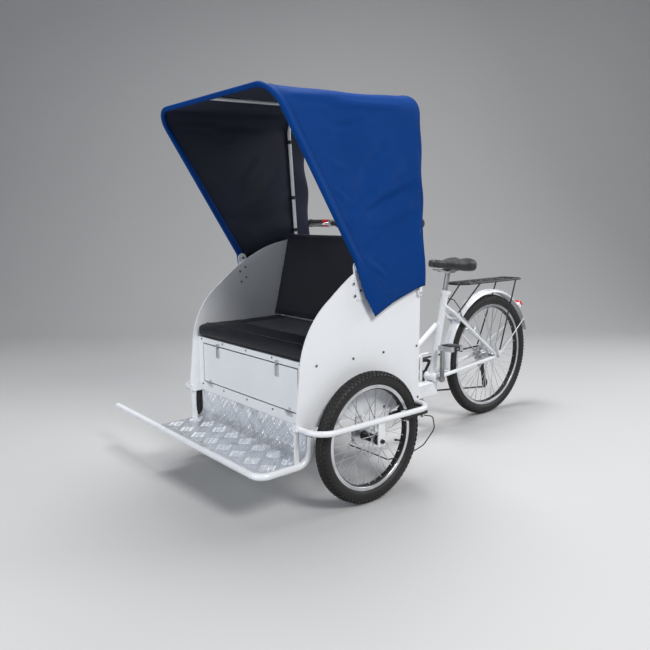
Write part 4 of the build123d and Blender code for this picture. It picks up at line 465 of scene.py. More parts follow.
grip_rubber = plain(
    "Grip rubber", (70.0, 3.0), (0.4, 0.7), ((0.013, 0.013, 0.014), (0.03, 0.03, 0.031)),
    (0.58, 0.14), (1200.0, 2.0), 0.2, 0.0004,
)


@finish("White paint")
def white_paint(f):
    paint = look().paint
    cloud = f.noise(2.6, 3.0)
    dust = f.axis("Z").below(0.06, 0.5) * f.noise(18.0, 5.0).above(0.45, 0.75)
    tone = f.mix(cloud.above(0.35, 0.65), paint, toned(paint, 0.955))
    color = f.mix(dust * 0.3, tone, (0.45, 0.43, 0.40))
    peel = f.noise(700.0, 1.0)
    return f.surface(
        color, 0.24 + dust * 0.3 + cloud * 0.08, peel, 0.05, 0.0004, Coat_Weight=0.35, Coat_Roughness=0.1
    )


@finish("Panel paint")
def panel_paint(f):
    paint = look().paint
    cloud = f.noise(1.7, 4.0)
    smear = f.noise(9.0, 5.0, vector=f.moved(scale=(1.0, 1.0, 0.25)))
    tone = f.mix(cloud.above(0.3, 0.7), paint, toned(paint, 0.965))
    color = f.mix(smear.above(0.58, 0.85) * 0.4, tone, (0.62, 0.61, 0.58))
    peel = f.noise(420.0, 2.0)
    rough = 0.3 + smear * 0.16
    return f.surface(color, rough, peel, 0.06, 0.0005, Coat_Weight=0.25, Coat_Roughness=0.15)


@finish("Tread plate alloy")
def tread_alloy(f):
    brushed = f.noise(90.0, 3.0, vector=f.moved(scale=(0.08, 1.0, 1.0)))
    scuff = f.noise(26.0, 6.0).above(0.5, 0.72)
    color = f.mix(scuff * 0.6, (0.80, 0.83, 0.87), (0.46, 0.48, 0.50))
    dent = f.noise(6.0, 2.0)
    rough = 0.31 + brushed * 0.12 + scuff * 0.14
    return f.surface(color, rough, dent * 8.0 + brushed * 0.3, 0.25, 0.001, Metallic=0.85)


@finish("Bright steel")
def bright_steel(f):
    cloud = f.noise(30.0, 4.0)
    spots = f.noise(160.0, 4.0).above(0.62, 0.78)
    color = f.mix(spots * 0.35, (0.60, 0.60, 0.61), (0.30, 0.25, 0.21))
    return f.surface(color, 0.2 + cloud * 0.2 + spots * 0.2, cloud, 0.04, 0.0003, Metallic=0.95)


@finish("Black painted metal")
def black_paint(f):
    cloud = f.noise(40.0, 4.0)
    chip = f.noise(130.0, 5.0).above(0.7, 0.78)
    color = f.mix(chip, (0.012, 0.012, 0.013), (0.12, 0.12, 0.12))
    return f.surface(color, 0.34 + cloud * 0.14, f.noise(600.0, 1.0), 0.08, 0.0004)


@finish("Crank alloy")
def crank_alloy(f):
    """Grey cranks and a black chainring between them and the chain."""
    side = f.axis("Y") - at(0, CHAIN_Y, 0).y
    ring = side.abs().within(RING_HALF, 0.0002)
    plate = f.radius(at(*CRANK_AXLE)).within(RING_R, 0.0005)
    cloud = f.noise(18.0, 4.0)
    silver = f.mix(cloud.above(0.35, 0.7), (0.40, 0.40, 0.40), (0.22, 0.22, 0.22))
    dark = ring * plate
    color = f.mix(dark, silver, (0.016, 0.016, 0.017))
    return f.surface(color, 0.28 + cloud * 0.16, cloud, 0.05, 0.0003, Metallic=0.9 - dark * 0.7)


@finish("Derailleur paint")
def derailleur_paint(f):
    """Black cage with red pulleys."""
    cloud = f.noise(60.0, 4.0)
    near = (f.axis("Y") - at(0, CHAIN_Y, 0).y).abs().within(PULLEY_HALF, 0.00015)
    guide, tension = (
        f.radius(at(*place)).within(PULLEY_R, 0.00025) for place in (GUIDE_PULLEY, TENSION_PULLEY)
    )
    color = f.mix(cloud.above(0.35, 0.7), (0.013, 0.013, 0.014), (0.03, 0.03, 0.032))
    color = f.mix((guide + tension).clamp() * near, color, (0.42, 0.012, 0.014))
    return f.surface(color, 0.36 + cloud * 0.14, cloud, 0.06, 0.0003)


@functools.cache
def pedal_metal(node):
    """Silver cage round a black body."""
    f = Finish("Pedal metal " + node)
    low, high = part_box(node)
    middle = (low.x + high.x) / 2
    body = (f.axis("X") - middle).abs().within(PEDAL_BODY, 0.001)
    cloud = f.noise(50.0, 4.0)
    silver = f.mix(cloud.above(0.35, 0.7), (0.66, 0.67, 0.68), (0.44, 0.45, 0.46))
    color = f.mix(body, silver, (0.016, 0.016, 0.017))
    return f.surface(color, 0.3 + cloud * 0.16 + body * 0.12, cloud, 0.08, 0.0003, Metallic=0.9 - body * 0.88)


@finish("Red lens")
def red_lens(f):
    rib = (f.axis("Z") * 900.0).sine().above(-0.4, 0.9)
    # Raised ribs painted a lighter red: a painted highlight along each rib
    color = f.mix(rib * 0.6, (0.55, 0.006, 0.012), (0.86, 0.04, 0.05))
    return f.surface(color, 0.12 + rib * 0.08, rib, 0.4, 0.0006, Coat_Weight=0.6, Coat_Roughness=0.05)


@finish("Tyre rubber")
def tyre_rubber(f):
    cloud = f.noise(35.0, 4.0)
    dust = f.noise(120.0, 4.0).above(0.48, 0.78)
    color = f.mix(dust * 0.3, (0.0075, 0.0068, 0.0074), (0.040, 0.036, 0.033))
    return f.surface(color, 0.5 + cloud * 0.16, f.noise(900.0, 2.0), 0.16, 0.0004)


@finish("Painted board")
def board_grey(f):
    grain = f.noise(60.0, 4.0, vector=f.moved(scale=(1.0, 0.12, 1.0)))
    color = f.mix(grain.above(0.4, 0.7), (0.20, 0.19, 0.18), (0.27, 0.26, 0.25))
    return f.surface(color, 0.5 + grain * 0.2, grain, 0.2, 0.0006)


def weave(f, pitch):
    """Height of a plain weave whose threads lie along and across the cloth's own map."""
    uv = f.node("ShaderNodeTexCoord", output="UV")
    across = f.node("ShaderNodeSeparateXYZ", inputs={0: uv}, output=0) * (math.pi / pitch)
    along = f.node("ShaderNodeSeparateXYZ", inputs={0: uv}, output=1) * (math.pi / pitch)
    return across.sine().abs() * 0.5 + along.sine().abs() * 0.5


@finish("Hood cloth")
def hood_cloth(f):
    canvas = look().canvas
    threads = weave(f, look().thread_pitch)
    faded = f.noise(3.2, 4.0)
    streak = f.noise(30.0, 4.0)
    tone = f.mix(faded.above(0.35, 0.68), canvas, toned(canvas, 0.84))
    # Raised threads painted lighter: a painted highlight on the weave, with painted shade between the threads
    tone = f.mix(threads * 0.35, tone, toned(canvas, 1.25))
    color = f.mix(streak.above(0.6, 0.85) * 0.2, tone, toned(canvas, 1.4))
    creases = f.noise(16.0, 3.0, vector=f.moved(rotation=(0, 0.75, 0), scale=(0.35, 1.0, 1.4)))
    return f.surface(
        color, 0.56 + streak * 0.14, threads + creases * 9.0, 0.4, 0.0008, Specular_IOR_Level=0.07
    )


# Inner face of the hood cloth: its dark colour is painted shade under the hood
@finish("Hood inner face painted shade")
def hood_inner_shade(f):
    inner_shade = look().inner_shade
    threads = weave(f, look().thread_pitch)
    cloud = f.noise(5.0, 3.0)
    color = f.mix(cloud.above(0.3, 0.7), inner_shade, toned(inner_shade, 1.6))
    return f.surface(color, 0.7 + cloud * 0.1, threads, 0.2, 0.0004)


@finish("Hood thread")
def hood_thread(f):
    canvas = look().canvas
    twist = f.noise(900.0, 2.0)
    color = f.mix(twist.above(0.4, 0.7), toned(canvas, 0.45), toned(canvas, 0.9))
    return f.surface(color, 0.6 + twist * 0.1, twist, 0.3, 0.0003)


def vinyl(f, insert=None):
    """Seat vinyl with a leather-like grain; insert is a mask for the paler panel."""
    dark, light = look().seat, look().seat_insert
    grain = f.cells(420.0)
    fine = f.noise(900.0, 3.0)
    cloud = f.noise(6.0, 4.0)
    tone = f.mix(cloud.above(0.35, 0.7), dark, toned(dark, 1.5))
    if insert is not None:
        pale = f.mix(cloud.above(0.35, 0.7), light, toned(light, 1.15))
        tone = f.mix(insert, tone, pale)
    height = grain.above(0.0, 0.12) + fine * 0.4
    return f.surface(
        tone, 0.42 + cloud * 0.14 + fine * 0.06, height, 0.22, 0.0005, Specular_IOR_Level=0.4
    )


@finish("Back vinyl")
def back_vinyl(f):
    return vinyl(f)


# Hood

# Near side of the hood, from its low edge up to the tab: front edge, seam and rear edge, as (x, z)
HOOD_TAIL = (
    ((-49, 724), (-141, 768), (-316, 821)),
    ((-24, 762), (-116, 800), (-313, 862)),
    ((0, 800), (-87, 834), (-310, 902)),
    ((17, 836), (-52, 868), (-307, 943)),
    ((30, 876), (-18, 905), (-304, 985)),
    ((42, 914), (10, 938), (-301, 1025)),
)
TAB_EYE = Vector((23, 405, 916))
FRONT_CORNER = Vector((412, 405, 1534))
FRONT_BEND = 85.0
REAR_BASE = Vector((-317, 405, 795))
REAR_CORNER = Vector((-262, 405, 1560))
REAR_BEND = 72.0
# Where the sheet starts on each bow: distance up the front one, height on the rear one
FRONT_START, REAR_START_Z = 24.0, 1060.0
# Sleeve round the front bow: radius, depth to the seam, and radius where it lies flat in the tail
SLEEVE_R, SLEEVE_DEPTH, FLAT_R = 10.0, 23.0, 2.4
# Half the gap in the seam, cloth above the rear bow's middle, and the tail's distance from the middle
SHEET_HALF, BOW_GAP, TAIL_Y = 1.6, 9.6, 414.6
# From the front bow to the rear one, along the legs and along the roof
LEG_BACK, ROOF_BACK = Vector((-0.846, 0, 0.533)), Vector((-0.999, 0, 0.038))
# Bar under the middle of the roof: cloth height above the bows' line, half width, soft edge
STAY_COVER, STAY_HALF, STAY_EDGE = 9.8, 9.0, 60.0
# Small waves of the cloth on the sides and over the roof
SIDE_RIPPLE, ROOF_RIPPLE = 1.6, 3.0
# The sag is full over this span; where the cloth turns the corner it is less by this share
FULL_SPAN, CORNER_TAUT = 500, 0.85
# Hem behind the rear bow: share where it starts to widen, width there, extra width, wave
HEM_SHARE, HEM_W, HEM_EXTRA, HEM_WAVE = 0.36, 20.0, 74.0, 7.0
# Ribs along the bows and in the tail, and points along each rib
LEG_ROWS, BEND_ROWS, ROOF_ROWS, TAIL_SPLIT = 46, 10, 54, 3
SLEEVE_STEPS, PANEL_STEPS, HEM_STEPS = 8, 34, 8
SEAM_COLUMN = SLEEVE_STEPS + 3
REAR_BOW_COLUMN = SEAM_COLUMN + PANEL_STEPS
HEM_COLUMN = REAR_BOW_COLUMN + HEM_STEPS - 3
PROBE_COLUMN = 30
FOLD_DEPTH = 1.7
# Soft folds on the near side: start, end, half width and height, in millimetres
SIDE_FOLDS = (
    ((106, 1039), (-148, 1268), 34, 5.0), ((-65, 1133), (-289, 1235), 22, -5.0),
    ((-86, 1073), (-297, 1165), 30, 4.0), ((-2, 1262), (-93, 1360), 26, -3.5),
    ((179, 1403), (77, 1405), 9, 3.0), ((133, 1394), (60, 1422), 9, -2.6),
    ((350, 1485), (151, 1499), 12, -4.0), ((214, 1473), (161, 1465), 8, 2.6),
    ((133, 1407), (29, 1443), 14, -3.0), ((251, 1345), (207, 1321), 8, 2.4),
    ((161, 1297), (96, 1272), 9, 2.2), ((143, 1201), (96, 1167), 9, 2.4),
    ((-14, 933), (-89, 891), 12, 3.4), ((20, 960), (-60, 1010), 16, -3.0),
    ((87, 1499), (-198, 1514), 12, 3.0), ((60, 1120), (-40, 1180), 18, -3.0),
)


def bow_points(base, corner, bend, first):
    """Rows of (centre, direction of travel) up the near leg, over and down to y = 0 and beyond."""
    up = (corner - base).normalized()
    over = Vector((0, -1, 0))
    start = (corner - base).length - bend
    rows = []
    for index in range(LEG_ROWS):
        share = index / LEG_ROWS
        rows.append((base + up * (first + (start - first) * share), up.copy()))
    middle = base + up * start + over * bend
    for index in range(BEND_ROWS):
        angle = math.pi / 2 * index / BEND_ROWS
        point = middle - over * bend * math.cos(angle) + up * bend * math.sin(angle)
        rows.append((point, up * math.cos(angle) + over * math.sin(angle)))
    for index in range(ROOF_ROWS // 2 + 1):
        share = index / (ROOF_ROWS // 2)
        rows.append((base + up * (start + bend) + over * (bend + (base.y - bend) * share), over.copy()))
    for point, way in rows[-2::-1]:
        rows.append((Vector((point.x, -point.y, point.z)), Vector((-way.x, way.y, -way.z))))
    return rows


def tail_rows(side):
    """Ribs of the flat tail below the tab, from the low edge up."""
    rows = []
    last = len(HOOD_TAIL) - 1
    for index in range(last * TAIL_SPLIT):
        first, part = divmod(index, TAIL_SPLIT)
        pairs = zip(HOOD_TAIL[first], HOOD_TAIL[first + 1])
        edge, seam, back = [Vector(a).lerp(Vector(b), part / TAIL_SPLIT) for a, b in pairs]
        rows.append(flat_rib(edge, seam, back, index / (last * TAIL_SPLIT), side))
    return rows


def fold_height(x, z):
    """Height of the soft folds at a place on the side, in millimetres."""
    total = 0.0
    for (x0, z0), (x1, z1), width, height in SIDE_FOLDS:
        along = Vector((x1 - x0, z1 - z0))
        length = along.length
        along.normalize()
        offset = Vector((x - x0, z - z0))
        s = offset.dot(along) / length
        if -0.5 < s < 1.5:
            ends = max(0.0, 1 - (2 * s - 1) ** 4 / 5)
            off = (offset.x * along.y - offset.y * along.x) / (width * 0.8)
            fold = math.exp(-off * off) - 0.35 * math.exp(-(off - 1.5) ** 2)
            total += height * FOLD_DEPTH * ends * fold
    return total


def hood_ribs():
    """Every rib of the hood from the near low edge over to the far one."""
    front = bow_points(TAB_EYE, FRONT_CORNER, FRONT_BEND, FRONT_START)
    rear = bow_points(REAR_BASE, REAR_CORNER, REAR_BEND, REAR_START_Z - REAR_BASE.z)
    ribs = tail_rows(1)
    last = len(front) - 1
    for index, ((centre, way), (behind, rear_way)) in enumerate(zip(front, rear)):
        inward = 1 - min(1.0, abs(centre.y) / FRONT_CORNER.y)
        back = LEG_BACK.lerp(ROOF_BACK, min(1.0, inward * 4))
        back = (back - way * back.dot(way)).normalized()
        rear_back = Vector((-1, 0, 0))
        rear_back = (rear_back - rear_way * rear_back.dot(rear_way)).normalized()
        rear_out = rear_back.cross(rear_way)
        level = min(1.0, min(index, last - index) / LEG_ROWS)
        ribs.append({
            "centre": centre, "back": back, "out": back.cross(way), "radius": SLEEVE_R,
            "width": SLEEVE_DEPTH - 8.0 * level, "rear": behind + rear_out * BOW_GAP,
            "rear_out": rear_out, "rear_back": rear_back,
        })
    return ribs + tail_rows(-1)[::-1]


def flat_rib(edge, seam, behind, rise, side):
    """A rib of the tail: its sleeve lies flat and opens out towards the tab."""
    back = (seam - edge).normalized()
    radius = FLAT_R + (SLEEVE_R - FLAT_R) * max(0.0, (rise - 0.72) / 0.28) ** 1.5
    out = TAIL_Y + 2.5 * math.sin(rise * 5.0) + 5.0 * (1 - rise) + 6.0 * max(0.0, (rise - 0.5) / 0.5)
    edge = edge + back * radius
    return {
        "centre": Vector((edge.x, side * (out - radius), edge.y)),
        "back": Vector((back.x, 0, back.y)), "out": Vector((0, side, 0)), "radius": radius,
        "width": (seam - edge).length, "rear": Vector((behind.x, side * TAIL_Y, behind.y)),
        "rear_out": Vector((0, side, 0)), "rear_back": Vector((-1, 0, 0.05)),
    }


def eased(share):
    """A share from 0 to 1 with soft ends."""
    return share * share * (3 - 2 * share)


def rear_reach(share):
    """How far the cloth reaches behind the rear bow, near side to far side."""
    if share < HEM_SHARE:
        return HEM_W + 3.0 * math.sin(share * 60)
    swell = min(1.0, (share - HEM_SHARE) / 0.3)
    return HEM_W + HEM_EXTRA * eased(swell) + HEM_WAVE * math.sin(share * 46) * swell


def over_stay(point):
    """The point lifted clear of the bar that runs under the middle of the roof."""
    share = (FRONT_CORNER.x - point.x) / (FRONT_CORNER.x - REAR_CORNER.x)
    needed = FRONT_CORNER.z + (REAR_CORNER.z - FRONT_CORNER.z) * share + STAY_COVER
    near = min(1.0, max(0.0, 1 - (abs(point.y) - STAY_HALF) / STAY_EDGE))
    return point + Vector((0, 0, max(0.0, needed - point.z) * eased(near)))


def hood_rows():
    """Points of the whole sheet, one list for each rib."""
    ribs = hood_ribs()
    sag = look().sag * 1000
    rows = []
    for number, rib in enumerate(ribs):
        share = number / (len(ribs) - 1)
        c, back, out, r = rib["centre"], rib["back"], rib["out"], rib["radius"]
        seam = c + back * rib["width"]
        row = [seam - out * SHEET_HALF]
        for step in range(SLEEVE_STEPS + 1):
            angle = math.radians(-90 - 180 * step / SLEEVE_STEPS)
            row.append(c + (back * math.cos(angle) + out * math.sin(angle)) * r)
        row.append(over_stay(c.lerp(seam, 0.5) + out * (r + SHEET_HALF) / 2))
        start = over_stay(seam + out * SHEET_HALF)
        row.append(start)
        end = rib["rear"]
        hang = sag * min(1.0, (end - start).length / FULL_SPAN) * (1 - abs(out.y * out.z) * 2 * CORNER_TAUT)
        side = min(1.0, abs(out.y) * 1.4)
        depth = side * (1 if out.y > 0 else 0.7)
        for step in range(1, PANEL_STEPS + 1):
            t = step / PANEL_STEPS
            point = start.lerp(end, t)
            normal = out.lerp(rib["rear_out"], t).normalized()
            height = fold_height(point.x, point.z) * depth * min(1.0, (1 - t) * 6) * min(1.0, t * 9)
            ripple = SIDE_RIPPLE * math.sin(point.x * 0.021 + point.y * 0.013) * math.sin(point.z * 0.017)
            if side < 0.9:
                ripple += ROOF_RIPPLE * (1 - side) * math.sin(point.y * 0.016 + point.x * 0.006)
            ripple *= min(1.0, t * 6, (1 - t) * 6)
            slack = hang * math.sin(math.pi * t) ** 0.8
            row.append(over_stay(point + normal * (height - slack + ripple)))
        reach = rear_reach(share)
        for step in range(1, HEM_STEPS + 1):
            t = step / HEM_STEPS
            wave = HEM_WAVE * math.sin(share * 52) * t * (reach / (HEM_W + HEM_EXTRA))
            droop = 0.0024 * (reach * t) ** 2 * (1 - side)
            row.append(end + rib["rear_back"] * reach * t + rib["rear_out"] * (wave - droop - 0.6 * t))
        rows.append([at(*point) for point in row])
    return rows


def hood_mesh():
    """The hood as one continuous sheet with its own map in metres."""
    rows = hood_rows()
    bm = bmesh.new()
    verts = add_grid(bm, rows)
    uv = bm.loops.layers.uv.new("cloth")
    along, place = 0.0, {}
    for i, row in enumerate(rows):
        if i:
            along += (row[PROBE_COLUMN] - rows[i - 1][PROBE_COLUMN]).length
        across = 0.0
        for j, point in enumerate(row):
            if j:
                across += (point - row[j - 1]).length
            place[verts[i][j]] = (across, along)
    for face in bm.faces:
        for loop in face.loops:
            loop[uv].uv = place[loop.vert]
    bm.normal_update()
    if verts[len(rows) // 2][PROBE_COLUMN].normal.z < 0:
        bmesh.ops.reverse_faces(bm, faces=bm.faces)
    area = sum(face.calc_area() for face in bm.faces)
    length = max(sum((b - a).length for a, b in zip(row, row[1:])) for row in rows)
    return saved(bm, "hood"), along, length, area


class RICKSHAW_OT_hood(bpy.types.Operator):
    """Folding hood: one sheet sewn round the front bow and stretched over the rear one"""

    bl_idname = "rickshaw.hood"
    bl_label = "Hood"

    def execute(self, context):
        mesh, width, length, area = hood_mesh()
        hood = piece("hood_sheet", mesh, hood_cloth(), CARRIAGE)
        # The inner face takes the second finish, painted dark as shade under the hood
        mesh.materials.append(hood_inner_shade())
        wall = hood.modifiers.new("Cloth thickness", "SOLIDIFY")
        wall.thickness = look().cloth
        wall.offset = -1.0
        wall.material_offset = 1
        wall.material_offset_rim = 0
        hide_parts("canopy_cover")
        print("hood flat", round(width, 3), round(length, 3), "area", round(area, 3))
        return {"FINISHED"}


# Cushions

# Stuffing of the cushions: cell size, pressure, first shrink and largest move, in metres but for the pressure
PAD_VOXEL, PAD_PRESSURE, PAD_SHRINK, PAD_MOVE = 0.007, 4.0, 0.003, 0.008
PAD_FRAMES = 20
# Paler insert of the seat: place of its front edge in millimetres, half width in metres
INSERT_FRONT, INSERT_HALF = 120, 0.264


def puffed(node, name):
    """The CAD cushion as a stuffed shape, swollen by a short cloth simulation."""
    bm = bmesh.new()
    bm.from_mesh(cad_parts[node].data)
    bmesh.ops.remove_doubles(bm, verts=bm.verts, dist=1e-5)
    bm.normal_update()
    item = linked(name + " stuffing", saved(bm, name))
    remesh = item.modifiers.new("Remesh", "REMESH")
    remesh.mode = "VOXEL"
    remesh.voxel_size = PAD_VOXEL
    bake(item)
    for vert in item.data.vertices:
        vert.co -= vert.normal * PAD_SHRINK
    start = [vert.co.copy() for vert in item.data.vertices]
    cloth = item.modifiers.new("Cloth", "CLOTH")
    cloth.settings.use_pressure = True
    cloth.settings.uniform_pressure_force = PAD_PRESSURE
    cloth.settings.effector_weights.gravity = 0.0
    cloth.point_cache.frame_start = 1
    cloth.point_cache.frame_end = PAD_FRAMES
    for number in range(1, PAD_FRAMES + 1):
        bpy.context.scene.frame_set(number)
    bake(item)
    bpy.context.scene.frame_set(1)
    for vert, rest in zip(item.data.vertices, start):
        move = vert.co - rest
        if move.length > PAD_MOVE:
            vert.co = rest + move.normalized() * PAD_MOVE
    mesh = item.data
    bpy.data.objects.remove(item)
    return mesh


def bake(item):
    """Applies what the modifiers make of a mesh."""
    graph = bpy.context.evaluated_depsgraph_get()
    mesh = bpy.data.meshes.new_from_object(item.evaluated_get(graph))
    item.modifiers.clear()
    old = item.data
    item.data = mesh
    bpy.data.meshes.remove(old)


def soften(item, rounds):
    """Smooths a mesh by moving its points between their neighbours."""
    bm = bmesh.new()
    bm.from_mesh(item.data)
    for _ in range(rounds):
        bmesh.ops.smooth_vert(
            bm, verts=bm.verts, factor=0.5, use_axis_x=True, use_axis_y=True, use_axis_z=True
        )
    bm.to_mesh(item.data)
    bm.free()
    item.data.update()


def keep_inside(item, low, high):
    """Holds a soft piece between two corners."""
    for vert in item.data.vertices:
        for axis in range(3):
            vert.co[axis] = min(max(vert.co[axis], low[axis]), high[axis])


class RICKSHAW_OT_cushions(bpy.types.Operator):
    """Seat and back cushions in grained vinyl, swollen"""

    bl_idname = "rickshaw.cushions"
    bl_label = "Cushions"

    def execute(self, context):
        for node, name, material in (
            ("seat_cushion", "seat_pad", seat_vinyl()),
            ("back_cushion", "back_pad", back_vinyl()),
        ):
            low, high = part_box(node)
            skin = piece(name, puffed(node, name), material, CARRIAGE)
            soften(skin, 2)
            keep_inside(skin, low - Vector((0.002, 0.002, 0.0)), high + Vector((0.002, 0.002, 0.004)))
            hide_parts(node)
        return {"FINISHED"}


@finish("Seat vinyl")
def seat_vinyl(f):
    x, y = f.axis("X"), f.axis("Y")
    side = (y - SHIFT.y).abs()
    front = at(INSERT_FRONT, 0, 0).x
    inset = side.below(INSERT_HALF - 0.002, INSERT_HALF + 0.002) * x.below(front, front + 0.004)
    return vinyl(f, inset)


# Stage

# Camera fitted to the photograph: place in metres from under the front axles, angles in radians
CAMERA_PLACE = Vector((1.70466, 2.21666, 1.09853))
CAMERA_YAW = math.radians(-129.87)
CAMERA_PITCH = 0.161003
CAMERA_ROLL = -0.0052638
CAMERA_LENS, CAMERA_SENSOR = 36.65, 36.0
# Floor along the view, in metres: near edge, end of the flat, radius of the round, top of the wall
FLOOR_NEAR, FLOOR_FLAT, FLOOR_ROUND, FLOOR_TOP = -6.0, 3.4, 2.2, 7.0
FLOOR_STEPS = 16
# Lamps: name, place, aim, size, power and colour
LAMPS = (
    ("key", (0.4, 3.9, 3.9), (-0.3, 0, 0.6), 1.4, 165.0, (1.0, 0.985, 0.96)),
    ("fill", (4.2, 0.2, 2.2), (0.1, 0, 0.6), 2.4, 92.0, (0.93, 0.965, 1.0)),
    ("top", (-0.6, -0.6, 4.4), (-0.4, 0, 0.5), 1.8, 150.0, (1.0, 1.0, 1.0)),
    ("rim", (-3.9, 1.4, 2.4), (-0.8, 0, 0.7), 1.6, 60.0, (0.95, 0.97, 1.0)),
)


def floor_mesh():
    """Floor that rises into a back wall behind the object, square to the view."""
    profile = [(FLOOR_NEAR, 0.0), (FLOOR_FLAT, 0.0)]
    for step in range(1, FLOOR_STEPS + 1):
        angle = math.pi / 2 * step / FLOOR_STEPS
        profile.append((FLOOR_FLAT + FLOOR_ROUND * math.sin(angle), FLOOR_ROUND * (1 - math.cos(angle))))
    profile.append((FLOOR_FLAT + FLOOR_ROUND, FLOOR_TOP))
    away = Vector((math.cos(CAMERA_YAW), math.sin(CAMERA_YAW), 0))
    aside = Vector((-away.y, away.x, 0))
    rows = [
        [SHIFT + away * run + aside * width + Vector((0, 0, rise)) for run, rise in profile]
        for width in (-9.0, -3.0, 3.0, 9.0)
    ]
    return closed_mesh("floor", lambda bm: add_grid(bm, rows))


@finish("Studio floor")
def studio_floor(f):
    cloud = f.noise(0.8, 3.0)
    color = f.mix(cloud, (0.47, 0.47, 0.475), (0.50, 0.50, 0.50))
    return f.surface(color, 0.75 + cloud * 0.1, cloud, 0.02, 0.001)


def camera_matrix():
    """Place and turn of the camera from its fitted angles."""
    flat = math.cos(CAMERA_PITCH)
    ahead = Vector((math.cos(CAMERA_YAW) * flat, math.sin(CAMERA_YAW) * flat, -math.sin(CAMERA_PITCH)))
    right = Vector((math.sin(CAMERA_YAW), -math.cos(CAMERA_YAW), 0))
    up = right.cross(ahead)
    turn = math.cos(CAMERA_ROLL), math.sin(CAMERA_ROLL)
    right, up = right * turn[0] + up * turn[1], up * turn[0] - right * turn[1]
    matrix = Matrix((right, up, -ahead)).transposed().to_4x4()
    matrix.translation = CAMERA_PLACE + SHIFT
    return matrix


class RICKSHAW_OT_stage(bpy.types.Operator):
    """Pale floor, soft lights and the camera"""

    bl_idname = "rickshaw.stage"
    bl_label = "Stage"

    def execute(self, context):
        scene = context.scene
        floor = linked("floor", floor_mesh())
        shade(floor.data)
        dress(floor.data, studio_floor())

        scene.world = bpy.data.worlds.new("Studio")
        scene.world.use_nodes = True
        background = scene.world.node_tree.nodes["Background"].inputs
        background["Color"].default_value = (0.86, 0.90, 1.0, 1.0)
        background["Strength"].default_value = look().ambient
        for name, place, aim, size, power, color in LAMPS:
            data = bpy.data.lights.new(name, "AREA")
            data.size, data.energy, data.color = size, power, color
            lamp = linked(name, data)
            lamp.location = SHIFT + Vector(place)
            lamp.rotation_euler = (Vector(aim) - Vector(place)).to_track_quat("-Z", "Y").to_euler()
        scene.view_settings.view_transform = "Standard"

        data = bpy.data.cameras.new("camera")
        data.lens, data.sensor_width, data.sensor_fit = CAMERA_LENS, CAMERA_SENSOR, "AUTO"
        scene.camera = linked("camera", data)
        scene.camera.matrix_world = camera_matrix()
        return {"FINISHED"}


# Wheels and tyres

TYRE_STEPS = 120
# Tyre section: how round the tread is, and how far its middle lies below the full height
TREAD_ROUND, TREAD_DROP = 0.93, 1.0
KNOB_PITCH = 0.0205
# Rows of tread blocks: offset from the middle as a share of the half width, length, width,
# height, turn of the block, lean outwards, step of the row
KNOB_ROWS = (
    (0.17, 0.0145, 0.0072, 0.0024, 28, 9, 0.0),
    (-0.17, 0.0145, 0.0072, 0.0024, -28, -9, 0.5),
    (0.52, 0.0135, 0.0088, 0.0034, -24, 30, 0.5),
    (-0.52, 0.0135, 0.0088, 0.0034, 24, -30, 0.0),
    (0.83, 0.0125, 0.0086, 0.0040, 0, 54, 0.0),
    (-0.83, 0.0125, 0.0086, 0.0040, 0, -54, 0.5),
)


def tyre_section(radius, half_w, rim_r):
    """Outline of a tyre as (across, radius), from one bead round to the other, in metres."""
    middle = radius - half_w - TREAD_DROP
    side = []
    for step in range(13):
        angle = math.radians(-58 + 148 * step / 12)
        rise = half_w * (TREAD_ROUND if angle > 0 else 1.06)
        side.append([half_w * math.cos(angle), middle + rise * math.sin(angle)])
    for line, proud in ((3, 0.7), (8, 0.8)):
        side[line][0] += proud
    bead = [(10.6, rim_r - 2.2), (13.6, rim_r + 0.8)]
    half = bead + [tuple(point) for point in side]
    outline = half + [(-y, r) for y, r in reversed(half[:-1])]
    return [(y / 1000, r / 1000) for y, r in outline]


# Tread block 1 by 1 on the ground and 1 high, narrower at the top
BLOCK_RING = ((-1, -1), (1, -1), (1, 1), (-1, 1))
BLOCK_LEVELS = ((0.5, -0.4), (0.5, 0.7), (0.36, 1.0))


class RICKSHAW_OT_tyres(bpy.types.Operator):
    """Round tyres with moulded side walls and rows of tread blocks"""

    bl_idname = "rickshaw.tyres"
    bl_label = "Tyres"

    def execute(self, context):
        unit = stacked_unit("block unit", BLOCK_RING, BLOCK_LEVELS)
        for name, place, radius, half_w, rim_r, _ in WHEELS:
            node, body, centre = f"tyre_{name}", f"wheel_{name}_body", at(*place)
            section = tyre_section(radius, half_w, rim_r)
            skin = [(centre, (0, 1, 0))], section, TYRE_STEPS, tyre_rubber()
            tyre = turned(node + "_skin", *skin, body, "tyre")
            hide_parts(node)
            count = round(2 * math.pi * radius / 1000 / KNOB_PITCH)
            spots = []
            for share, length, width, height, turn, lean, shift in KNOB_ROWS:
                rise = math.sqrt(1 - share * share) * TREAD_ROUND * half_w
                reach = (radius - half_w - TREAD_DROP + rise) / 1000
                turn, lean = math.radians(turn), math.radians(lean)
                for index in range(count):
                    angle = 2 * math.pi * (index + shift) / count
                    away, along = wheel_way(angle), wheel_way(angle + math.pi / 2)
                    out = away * math.cos(lean) + Vector((0, math.sin(lean), 0))
                    way = along * math.cos(turn) + Vector((0, math.sin(turn), 0))
                    point = centre + away * reach + Vector((0, share * half_w / 1000, 0))
                    spots.append((point, out, way, (length, width, height)))
            copies(node + "_blocks", spots, unit, tyre_rubber(), body, smooth=False)
        return {"FINISHED"}


SPOKES = 36
# Black parts of the wheels, in millimetres: spoke bed below the rim's edge, front hub and where it starts
BED_LOW, BED_HIGH, HUB_R, HUB_SIDE = 19.0, 13.7, 19.5, 406.5
LATHE_LINES = 5.2
# Spoke nipples: how far inside the rim's edge in millimetres, lean from side to side, width in metres
NIPPLE_IN, NIPPLE_LEAN, NIPPLE_W = 17, 0.12, 0.0026
